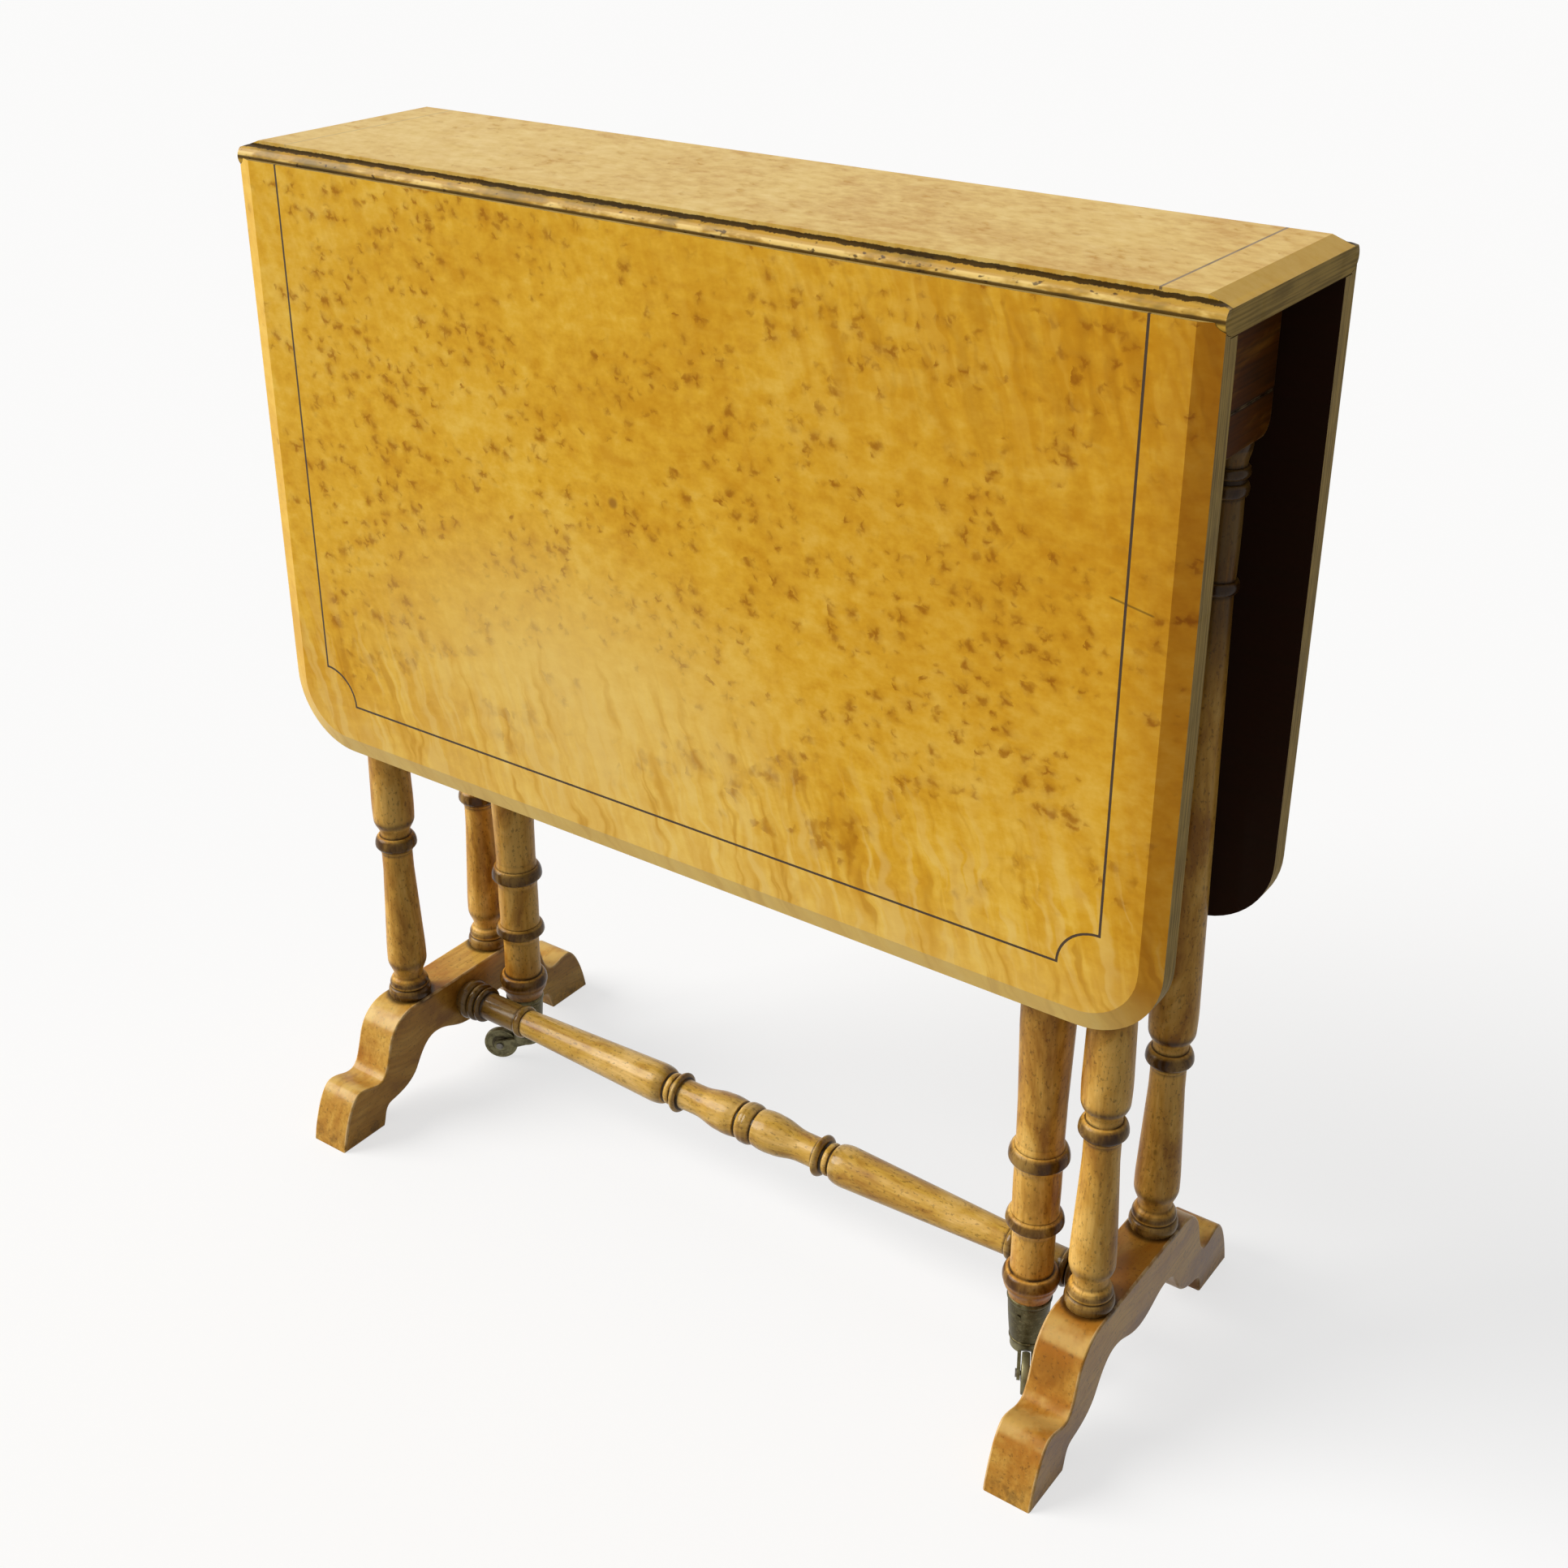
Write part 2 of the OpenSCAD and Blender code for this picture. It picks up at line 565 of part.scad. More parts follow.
module gate_leg() color(turned_colour) difference() {
  block_z = under_z - fly_gap_high - leg_block_h;
  at_gate_leg() {
    translate([0, 0, cup_z + cup_h]) rotate_extrude() polygon(leg_profile(block_z - cup_z - cup_h));
    translate([0, 0, block_z - cut]) cylinder(r = leg_core_r, h = 2 * cut);
    translate([-leg_block / 2, -leg_block / 2, block_z]) cube([leg_block, leg_block, leg_block_h]);
    translate([0, 0, cup_z + cup_floor]) cylinder(r1 = cup_low_r - cup_wall - fit_gap,
      r2 = cup_high_r - cup_wall - fit_gap, h = cup_h - cup_floor);
  }
  fly_tenon(fit_gap);
  at_gate_leg() {
    cylinder(r = swivel_pin_r + run_gap, h = cup_z + swivel_pin_up + cut);
    cup_screw_pair(run_gap);
  }
}
module gate_leg_front() on_front() gate_leg();
module gate_leg_rear() on_rear() gate_leg();

// Castor: a socket cup on the leg, a horn that swivels under it, an axle and a wheel
module cup_screw_pair(gap = 0)
  for (side = [-1, 1]) translate([0, side * cup_high_r, cup_screw_z]) rotate([side * 90, 0, 0])
    wood_screw(cup_screw_l, screw_r / 2, screw_r, screw_head_h / 2, gap);
module castor_cup() color(brass_colour) at_gate_leg() difference() {
  union() {
    translate([0, 0, cup_z]) cylinder(r1 = cup_low_r, r2 = cup_high_r, h = cup_h);
    translate([0, 0, cup_z + cup_h - 3]) cylinder(r = cup_high_r + 0.4, h = 3);
  }
  translate([0, 0, cup_z + cup_floor]) cylinder(r1 = cup_low_r - cup_wall, r2 = cup_high_r - cup_wall,
    h = cup_h - cup_floor);
  translate([0, 0, cup_z - cut]) cylinder(r = swivel_pin_r + run_gap, h = cup_floor + 2 * cut);
  cup_screw_pair(run_gap);
}
module castor_cup_front() on_front() castor_cup();
module castor_cup_rear() on_rear() castor_cup();
module cup_screws_front() color(brass_colour) on_front() at_gate_leg() cup_screw_pair();
module cup_screws_rear() color(brass_colour) on_rear() at_gate_leg() cup_screw_pair();

// Swivel frame: x runs from the swivel to the axle
module castor_rear_place() on_rear() at_gate_leg() rotate([0, 0, castor_rear_turn]) children();
module castor_front_place() on_front() at_gate_leg() rotate([0, 0, castor_front_turn - 180]) children();
module at_axle() translate([trail, 0, wheel_r]) rotate([90, 0, 0]) children();
module horn() color(horn_colour) difference() {
  cheek_y = hub_w / 2 + joint_gap;
  low_z = cup_z - joint_gap - collar_h;
  union() {
    translate([0, 0, low_z]) cylinder(r = collar_r, h = collar_h);
    translate([0, 0, low_z]) cylinder(r = swivel_pin_r, h = collar_h + joint_gap + swivel_pin_up);
    for (side = [-1, 1]) translate([0, side * (cheek_y + cheek_t / 2), 0]) along_y(cheek_t) {
      polygon([[-7, low_z + cut], [8, low_z + cut], [trail + 1.6, wheel_r + cheek_r - 0.3],
               [trail - 1.2, wheel_r - cheek_r + 0.2], [-2, low_z - 3]]);
      translate([trail, wheel_r]) circle(r = cheek_r);
    }
  }
  at_axle() {
    cylinder(r = wheel_r + 1, h = 2 * cheek_y, center = true);
    cylinder(r = axle_r, h = 4 * cheek_y + 4 * cheek_t, center = true);
  }
}
module castor_horn_front() castor_front_place() horn();
module castor_horn_rear() castor_rear_place() horn();

module axle() color(steel_colour) at_axle() {
  reach = hub_w / 2 + joint_gap + cheek_t;
  cylinder(r = axle_r, h = 2 * reach, center = true);
  for (side = [-1, 1]) translate([0, 0, side * (reach + axle_head_t / 2)])
    cylinder(r = axle_head_r, h = axle_head_t, center = true);
}
module castor_axle_front() castor_front_place() axle();
module castor_axle_rear() castor_rear_place() axle();

module wheel() color(horn_colour) at_axle() difference() {
  crown = 0.7;
  web_r = wheel_r - 2.4;
  rotate_extrude() polygon(concat(
    [[0, -hub_w / 2], [hub_r, -hub_w / 2], [hub_r, -wheel_w / 2 + 0.6], [web_r, -wheel_w / 2 + 0.6],
     [web_r, -wheel_w / 2]],
    bow(-wheel_w / 2, wheel_r - crown, wheel_w / 2, wheel_r - crown, crown, 8),
    [[wheel_r - crown, wheel_w / 2], [web_r, wheel_w / 2], [web_r, wheel_w / 2 - 0.6],
     [hub_r, wheel_w / 2 - 0.6], [hub_r, hub_w / 2], [0, hub_w / 2]]));
  cylinder(r = axle_r + run_gap, h = hub_w + 2 * cut, center = true);
}
module castor_wheel_front() castor_front_place() wheel();
module castor_wheel_rear() castor_rear_place() wheel();

top_board();
top_stringing();
leaf_front();
leaf_rear();
stringing_front();
stringing_rear();
hinge_plates_top();
hinge_plates_front();
hinge_plates_rear();
hinge_pins();
hinge_screws_top();
hinge_screws_front();
hinge_screws_rear();
long_rail();
frieze_block_left();
frieze_block_right();
trestle_rail_left();
trestle_rail_right();
column_front_left();
column_rear_left();
column_front_right();
column_rear_right();
foot_left();
foot_right();
stretcher();
top_screws();
gate_block_front();
gate_block_rear();
gate_block_screws();
gate_pin_front();
gate_pin_rear();
fly_rail_front();
fly_rail_rear();
gate_leg_front();
gate_leg_rear();
castor_cup_front();
castor_cup_rear();
cup_screws_front();
cup_screws_rear();
castor_horn_front();
castor_horn_rear();
castor_axle_front();
castor_axle_rear();
castor_wheel_front();
castor_wheel_rear();
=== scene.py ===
"""Looks of a small sutherland table: figured veneer, dark stringing, turned legs, old castors."""
import json
import math

import bmesh
import bpy
from mathutils import Matrix, Vector


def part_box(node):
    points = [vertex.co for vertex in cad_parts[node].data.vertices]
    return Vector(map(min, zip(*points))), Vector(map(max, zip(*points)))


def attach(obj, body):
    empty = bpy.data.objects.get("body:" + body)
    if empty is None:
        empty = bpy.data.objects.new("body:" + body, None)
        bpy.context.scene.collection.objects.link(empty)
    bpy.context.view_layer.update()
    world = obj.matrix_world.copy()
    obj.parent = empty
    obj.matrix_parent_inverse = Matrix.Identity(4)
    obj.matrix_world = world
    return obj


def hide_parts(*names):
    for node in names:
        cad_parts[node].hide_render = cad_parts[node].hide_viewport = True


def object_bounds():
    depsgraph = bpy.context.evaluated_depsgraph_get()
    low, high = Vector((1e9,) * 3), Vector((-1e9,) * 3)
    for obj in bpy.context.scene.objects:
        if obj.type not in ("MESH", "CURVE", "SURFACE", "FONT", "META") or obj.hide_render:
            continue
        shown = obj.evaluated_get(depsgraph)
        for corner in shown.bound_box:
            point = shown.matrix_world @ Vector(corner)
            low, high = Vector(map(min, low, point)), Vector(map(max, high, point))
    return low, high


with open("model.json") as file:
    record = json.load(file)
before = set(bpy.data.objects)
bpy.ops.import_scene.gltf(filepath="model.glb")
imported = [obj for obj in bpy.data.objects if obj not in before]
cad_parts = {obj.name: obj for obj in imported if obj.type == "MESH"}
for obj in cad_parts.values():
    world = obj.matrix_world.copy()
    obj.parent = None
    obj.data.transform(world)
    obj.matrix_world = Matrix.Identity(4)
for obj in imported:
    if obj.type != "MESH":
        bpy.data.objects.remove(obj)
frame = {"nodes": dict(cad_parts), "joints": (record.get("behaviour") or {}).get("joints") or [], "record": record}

bl_info = {
    "name": "Sutherland table",
    "version": (1, 0, 0),
    "blender": (4, 5, 0),
    "location": "3D View > Sidebar > Table",
    "description": "Dresses the frame of a sutherland table in veneer, turned wood and old metal",
    "category": "Object",
}

CAD_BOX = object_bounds()
MM = 0.001
SIDES = {"front": -1, "rear": 1}
ENDS = ("left", "right")

# Places on the frame that the finishes follow
BEVEL_WIDTH = 12.5 * MM
FLAT_HALF = 72 * MM
FILLET_Z = CAD_BOX[1].z - 3 * MM
TRESTLE_X = 282.5 * MM
COLUMN_Y = 42.5 * MM
SEAM_Z = 626 * MM
FOOT_BENDS = ((37.5 * MM, 41.5 * MM), (74.5 * MM, 81.5 * MM))

# The veneer's tones, the number that sets each board's figure, and the eyes in it
HONEY = ("honey_light", "honey", "honey_deep")
VENEER_SEED = {"front": 1.3, "rear": 7.9, "top": 4.4}
EYE_RAGGED = 8.5 * MM
# For each round of dashes: spacing and size against the eyes', share between the tufts and in them
DASH_ROUNDS = ((0.80, 0.80, 0.10, 0.68), (0.50, 0.46, 0.10, 0.45))
# Marks on the front leaf as (x, z), and how their edges fade
KNOT = (-33 * MM, 534.5 * MM)
KNOT_EDGE = (1.6 * MM, 4.6 * MM)
SCRATCH = ((279 * MM, 554 * MM), (305.5 * MM, 549 * MM))
SCRATCH_EDGE = (0.2 * MM, 0.9 * MM)

# Borders whose edges are eased: the sloping edges, and the rounded corners of a leaf
SLOPE_BORDER = 13 * MM
CORNER_CENTRE = 48 * MM
CORNER_BORDER = 34 * MM
# Where the turned pieces begin, and the size of the block over each gate leg
COLUMN_FOOT_Z = 84 * MM
STRETCHER_Z = 62.5 * MM
GATE_LEG_FOOT_Z = 60 * MM
GATE_BLOCK = (34 * MM, 34 * MM, 88 * MM)

# Edges flatter than CREASE are shaded smooth, outward edges from SHARP up may be eased
CREASE = math.radians(40)
SHARP = math.radians(30)
SLIGHT_BEND = (math.radians(12), math.radians(28))
FLAT = math.radians(1)
# Corners this close are one, and a point this close to a plane lies on it
WELD = 0.001 * MM
ON_PLANE = 0.05 * MM
ON_EDGE = 0.1 * MM

# Profiles, in millimetres: shortest and longest stretch, and the stretch that means are taken over
SHORTEST, LONGEST, EVEN = 0.02, 2.5, 0.25
# How far the means reach, and by how much a hollow is deep or a ring stands out where marked fully
HOLLOW_REACH, HOLLOW_DEPTH = 1.6, 0.5
RING_REACH, RING_LEAST, RING_HEIGHT = 6, 0.05, 0.6

WHITE = (1, 1, 1, 1)
SUN_FROM = Vector((-0.72, -0.48, 0.60))
SUN_ANGLE = math.radians(40)
SUN_COLOUR = (1.0, 0.98, 0.95)
FLOOR_HALF = 60
SENSOR_WIDTH = 36
CAMERA_REACH = 200


def colour(red, green, blue):
    """A colour from 0 to 255 as it looks on screen, as the linear value that the shaders take."""
    def linear(c):
        c /= 255
        return c / 12.92 if c <= 0.04045 else ((c + 0.055) / 1.055) ** 2.4
    return linear(red), linear(green), linear(blue)


def colour_field(name, description, shown):
    return bpy.props.FloatVectorProperty(name=name, description=description, size=3, min=0, max=1,
                                         default=colour(*shown), subtype="COLOR")


def number_field(name, description, default, **limits):
    return bpy.props.FloatProperty(name=name, description=description, default=default, **limits)


def length_field(name, description, millimetres):
    return number_field(name, description, millimetres * MM, min=0, unit="LENGTH", precision=4)


def share_field(name, description, share):
    return number_field(name, description, share, min=0, max=1, subtype="FACTOR")


# Settings

class TableSizes(bpy.types.PropertyGroup):
    """Sizes of the finish on the frame's shapes"""
    board_arris: length_field("Board arris", "How far edges of the top and leaves are eased", 0.7)
    foot_arris: length_field("Foot arris", "How far the edges of the feet are rounded", 1.5)
    rail_arris: length_field("Rail arris", "How far edges of the rails and blocks are eased", 0.8)
    eye_reach: length_field("Bird's eye", "Half the length of the veneer's longest dashes", 6.6)
    eye_spacing: length_field("Eye spacing", "Distance between places where an eye may lie", 17)
    steps_round: bpy.props.IntProperty(name="Steps round", default=80, min=12, max=160,
                                       description="Faces round a turned piece")
    curve_points: bpy.props.IntProperty(name="Curve points", default=12, min=4, max=32,
                                        description="Points along each curve of an outline")


class TableColours(bpy.types.PropertyGroup):
    """Colours of the woods and metals"""
    honey_light: colour_field("Pale honey", "Lightest tone of the veneer", (240, 197, 84))
    honey: colour_field("Honey", "Middle tone of the veneer", (230, 178, 50))
    honey_deep: colour_field("Deep honey", "Darkest tone of the veneer", (213, 154, 30))
    # Glow is painted sheen and painted highlight: the pale patch low on each leaf, its lower border and downward
    # faces, the crest of the quarter round, the bends of the feet; it also lightens streaks in the figure
    glow: colour_field("Glow", "Bleached patch low on the leaves", (240, 209, 128))
    eye: colour_field("Eye", "Bird's eyes and flecks in the veneer", (160, 97, 4))
    # The top's pale, greyed tones are painted sheen
    top_light: colour_field("Pale top", "Lightest tone of the bleached top", (229, 198, 122))
    top_middle: colour_field("Top", "Middle tone of the bleached top", (219, 183, 96))
    top_deep: colour_field("Deep top", "Darkest tone of the bleached top", (196, 148, 50))
    top_slope: colour_field("Top slope", "Sloping ends of the top", (208, 160, 34))
    core: colour_field("Core", "Edges of the boards under the veneer", (186, 156, 86))
    core_line: colour_field("Core line", "Dark lines along the bare edges", (66, 50, 20))
    # Near black: the stain with painted shade in it
    dulled: colour_field("Dulled", "Greyed patches of the quarter round", (104, 88, 46))
    inside: colour_field("Inside", "Stained undersides of the leaves and top", (38, 17, 4))
    string: colour_field("String", "Dark inlaid line", (62, 42, 18))
    string_faded: colour_field("Faded string", "Faded inlaid line on the top", (126, 100, 56))
    turned_light: colour_field("Pale turning", "Lightest tone of the turned wood", (230, 184, 96))
    turned: colour_field("Turning", "Middle tone of the turned wood", (206, 155, 66))
    turned_deep: colour_field("Deep turning", "Darkest tone of the turned wood", (160, 108, 34))
    ring: colour_field("Ring", "Darkened rings of the turned pieces", (52, 29, 7))
    amber: colour_field("Amber", "Warm foot of the gate legs", (178, 112, 30))
    gold_light: colour_field("Pale gold", "Lightest tone of the stretcher", (224, 184, 106))
    gold: colour_field("Gold", "Middle tone of the stretcher", (203, 160, 68))
    gold_deep: colour_field("Deep gold", "Darkest tone of the stretcher", (160, 110, 40))
    # Also laid as painted shade: round the foot of each column, in the hollows of the turnings, in the top's quirk
    # and its joint with the leaf
    grime_and_shade: colour_field("Grime", "Old polish in the hollows", (32, 17, 4))
    worn: colour_field("Worn arris", "Edges rubbed through to pale wood", (232, 200, 146))
    rail: colour_field("Rail", "Stained blocks and rails under the top", (82, 42, 3))
    brass: colour_field("Brass", "Old brass", (72, 64, 36))
    bronze: colour_field("Bronze", "Dark castor metal", (122, 116, 84))
    steel: colour_field("Steel", "Screws, pins and axles", (120, 116, 108))


class StageSettings(bpy.types.PropertyGroup):
    """Light, floor and camera"""
    floor: colour_field("Floor", "Pale floor as the camera sees it", (252, 252, 252))
    floor_bounce: colour_field("Floor bounce", "Tone of the light it throws back", (160, 158, 154))
    floor_glow: share_field("Floor glow", "Share of the floor's white that no shadow dims", 0.70)
    key: number_field("Key", "Strength of the soft main light", 3.5, min=0)
    sky: number_field("Sky", "Strength of the even light from all round", 0.42, min=0)
    far_side: share_field("Far side", "Share of the even light away from the main light", 0.3)
    camera_turn: number_field("Turn", "Camera's direction round the table",
                              math.radians(35.537), subtype="ANGLE")
    camera_rise: number_field("Rise", "Camera's angle above the horizon",
                              math.radians(25.923), subtype="ANGLE")
    camera_distance: length_field("Distance", "From the camera to the point it looks at", 1248.5)
    camera_target: bpy.props.FloatVectorProperty(
        name="Target", description="Point the camera looks at", default=(0.028, 0, 0.3932),
        size=3, subtype="TRANSLATION")
    lens: number_field("Lens", "Focal length in millimetres", 46.82)
    shift: number_field("Shift", "Upward shift of the frame", -0.0518)


def sizes():
    return bpy.context.scene.table_sizes


def colours():
    return bpy.context.scene.table_colours


def tone(name):
    return (*getattr(colours(), name), 1.0)


# Materials

class Nodes:
    """Shader nodes of a material or of the world, made and joined one by one."""

    def __init__(self, tree):
        self.tree = tree
        tree.nodes.clear()

    def node(self, kind, **settings):
        made = self.tree.nodes.new(kind)
        for key, value in settings.items():
            setattr(made, key, value)
        return made

    def feed(self, socket, value):
        if isinstance(value, bpy.types.NodeSocket):
            self.tree.links.new(value, socket)
        else:
            socket.default_value = value

    def fill(self, made, *values):
        """Feeds a node's first inputs in order and returns its outputs."""
        for socket, value in zip(made.inputs, values):
            self.feed(socket, value)
        return made.outputs

    def maths(self, operation, a, b=0.0):
        return self.fill(self.node("ShaderNodeMath", operation=operation), a, b)[0]

    def plus(self, a, b):
        return self.maths("ADD", a, b)

    def minus(self, a, b):
        return self.maths("SUBTRACT", a, b)

    def times(self, a, b):
        return self.maths("MULTIPLY", a, b)

    def over(self, a, b):
        return self.maths("DIVIDE", a, b)

    def most(self, a, b):
        return self.maths("MAXIMUM", a, b)

    def unsigned(self, a):
        return self.maths("ABSOLUTE", a)

    def vector(self, operation, a, b=(0, 0, 0)):
        outputs = self.fill(self.node("ShaderNodeVectorMath", operation=operation), a, b)
        return outputs["Value" if operation in {"DOT_PRODUCT", "LENGTH"} else "Vector"]

    def axes(self, vector):
        return tuple(self.fill(self.node("ShaderNodeSeparateXYZ"), vector))

    def point(self, x=0.0, y=0.0, z=0.0):
        return self.fill(self.node("ShaderNodeCombineXYZ"), x, y, z)[0]

    def length(self, a, b):
        return self.vector("LENGTH", self.point(a, b))

    def stretch(self, vector, scale):
        unmoved = (0, 0, 0)
        return self.fill(self.node("ShaderNodeMapping"), vector, unmoved, unmoved, scale)[0]

    def noise(self, vector, scale=1.0, detail=3.0, roughness=0.55, distortion=0.0, output="Fac"):
        made = self.node("ShaderNodeTexNoise")
        for name, value in (("Vector", vector), ("Scale", scale), ("Detail", detail),
                            ("Roughness", roughness), ("Distortion", distortion)):
            self.feed(made.inputs[name], value)
        return made.outputs[output]

    def cells(self, vector, scale=1.0, dimensions="3D"):
        made = self.node("ShaderNodeTexVoronoi", voronoi_dimensions=dimensions)
        self.feed(made.inputs["Vector"], vector)
        self.feed(made.inputs["Scale"], scale)
        return made.outputs

    def step(self, value, low, high, from_value, to_value):
        """A smooth step from from_value below low to to_value above high."""
        made = self.node("ShaderNodeMapRange", interpolation_type="SMOOTHSTEP")
        return self.fill(made, value, low, high, from_value, to_value)[0]

    def rise(self, value, low, high, top=1.0):
        return self.step(value, low, high, 0.0, top)

    def fade(self, value, low, high, top=1.0):
        return self.step(value, low, high, top, 0.0)

    def inside(self, value, low, high, soft):
        """1 between low and high, falling to 0 within soft of each."""
        return self.times(self.rise(value, low - soft, low), self.fade(value, high, high + soft))

    def mix(self, factor, a, b):
        made = self.node("ShaderNodeMix", data_type="RGBA")
        for place, value in ((0, factor), (6, a), (7, b)):
            self.feed(made.inputs[place], value)
        return made.outputs[2]

    def lay(self, base, name, share):
        """Base with this share of a named colour laid over it."""
        return self.mix(share, base, tone(name))

    def tint(self, base, shares, factor):
        """Base with its red, green and blue brought down to these shares, its figure kept."""
        return self.mix(factor, base, self.vector("MULTIPLY", base, shares))

    def ramp(self, value, *stops):
        """Named colours at their places along the value."""
        made = self.node("ShaderNodeValToRGB")
        self.feed(made.inputs[0], value)
        elements = made.color_ramp.elements
        while len(elements) < len(stops):
            elements.new(0.5)
        for element, (position, name) in zip(elements, stops):
            element.position = position
            element.color = tone(name)
        return made.outputs[0]

    def mark(self, name):
        """A number kept on the mesh, such as how hollow or worn it is there."""
        return self.node("ShaderNodeAttribute", attribute_name=name).outputs["Fac"]

    def seen(self):
        """1 for what the camera sees, straight, mirrored or through glass."""
        rays = self.node("ShaderNodeLightPath").outputs
        seen = self.most(rays["Is Camera Ray"], rays["Is Glossy Ray"])
        return self.most(seen, rays["Is Transmission Ray"])


class Finish(Nodes):
    """One procedural material on a principled shader."""

    def __init__(self, name, **shader):
        self.material = bpy.data.materials.new(name)
        self.material.use_nodes = True
        super().__init__(self.material.node_tree)
        self.shader = self.node("ShaderNodeBsdfPrincipled")
        self.fill(self.node("ShaderNodeOutputMaterial"), self.shader.outputs[0])
        for socket, value in shader.items():
            self.shader.inputs[socket.replace("_", " ")].default_value = value
        coordinates = self.node("ShaderNodeTexCoord").outputs
        self.place, self.normal = coordinates["Object"], coordinates["Normal"]

    def finish(self, base, roughness, height=None):
        """Ends the material; height is in metres."""
        self.feed(self.shader.inputs["Base Color"], base)
        self.feed(self.shader.inputs["Roughness"], roughness)
        if height is not None:
            bump = self.node("ShaderNodeBump")
            for name, value in (("Strength", 1.0), ("Distance", 1.0), ("Height", height)):
                self.feed(bump.inputs[name], value)
            self.feed(self.shader.inputs["Normal"], bump.outputs[0])
        return self.material


def scatter(f, u, v, spacing, lean, shift):
    """The way along and across the nearest of many scattered marks, and two of its numbers."""
    moved = f.point(f.plus(u, shift), f.plus(v, 0.7 * shift))
    cells = f.cells(moved, 1 / spacing, "2D")
    du, dv, _ = f.axes(f.vector("SUBTRACT", moved, cells["Position"]))
    chance, girth, twist = f.axes(cells["Color"])
    angle = f.plus(lean, f.times(f.minus(twist, 0.5), 1.5))
    cosine, sine = f.maths("COSINE", angle), f.maths("SINE", angle)
    along = f.plus(f.times(du, cosine), f.times(dv, sine))
    across = f.minus(f.times(dv, cosine), f.times(du, sine))
    return along, across, chance, girth


def chosen_marks(f, share, chance, girth, faintest):
    """Strength of each mark, 0 for those beyond the share that is wanted."""
    wanted = f.rise(f.minus(share, chance), 0.0, 0.25)
    return f.times(wanted, f.step(girth, 0, 1, faintest, 1.0))


def dashes(f, u, v, spacing, reach, share, lean, shift):
    """Short hooked dashes and the soft halos round them, each of its own size and strength."""
    along, across, chance, girth = scatter(f, u, v, spacing, lean, shift)
    hook = f.over(f.times(f.minus(girth, 0.4), 1.6), reach)
    across = f.minus(across, f.times(f.times(along, along), hook))
    size = f.times(f.step(girth, 0, 1, 0.5, 1.0), reach)
    along = f.over(f.unsigned(along), size)
    across = f.over(f.unsigned(across), size)
    here = chosen_marks(f, share, chance, girth, 0.5)
    mark = f.times(f.fade(along, 0.30, 1.0), f.fade(across, 0.0, 0.58))
    halo = f.fade(f.length(along, across), 0.2, 1.6)
    return f.times(mark, here), f.times(halo, here)


def stars(f, u, v, spacing, reach, share, lean, shift):
    """Eyes with three ragged arms, and the soft halos round them."""
    along, across, chance, girth = scatter(f, u, v, spacing, lean, shift)
    across = f.times(across, 1.35)
    turned_to = f.plus(f.times(f.maths("ARCTAN2", across, along), 1.5), f.times(girth, 9))
    arms = f.maths("POWER", f.unsigned(f.maths("SINE", turned_to)), 2.4)
    size = f.times(f.step(girth, 0, 1, 0.6, 1.0), reach)
    radius = f.over(f.length(along, across), size)
    here = chosen_marks(f, share, chance, girth, 0.55)
    mark = f.fade(f.over(radius, f.plus(0.34, f.times(arms, 0.92))), 0.15, 1.0)
    halo = f.fade(radius, 0.2, 1.8)
    return f.times(mark, here), f.times(halo, here)


def bird_eyes(f, u, v, seed, amount, low):
    """Starred eyes and dashes in tufts, longer and steeper where low is 1: marks, halos, tufts."""
    flat = f.point(u, v, seed)
    ragged = f.vector("SUBTRACT", f.noise(flat, 150, 3, 0.6, output="Color"), (0.5, 0.5, 0.5))
    ragged = f.vector("MULTIPLY", ragged, (EYE_RAGGED, EYE_RAGGED, EYE_RAGGED))
    u, v, _ = f.axes(f.vector("ADD", flat, ragged))
    slant_u = f.plus(f.times(u, 15), f.times(v, 10))
    slant_v = f.minus(f.times(v, 25), f.times(u, 13))
    patch = f.noise(f.point(slant_u, slant_v, seed), 1, 3, 0.6)
    tuft = f.rise(f.plus(patch, amount), 0.42, 0.64)
    lean = f.minus(-0.5, f.times(low, 0.75))
    longer = f.plus(1.0, low)
    spacing, reach = sizes().eye_spacing, sizes().eye_reach
    marks, halos = stars(f, u, v, spacing, f.times(longer, 0.85 * reach),
                         f.plus(0.10, f.times(tuft, 0.78)), lean, seed)
    for closer, shorter, between, in_tufts in DASH_ROUNDS:
        mark, halo = dashes(f, u, v, spacing * closer, f.times(longer, reach * shorter),
                            f.plus(between, f.times(tuft, in_tufts)), lean, seed * shorter)
        marks, halos = f.most(marks, mark), f.most(halos, halo)
    return marks, halos, tuft


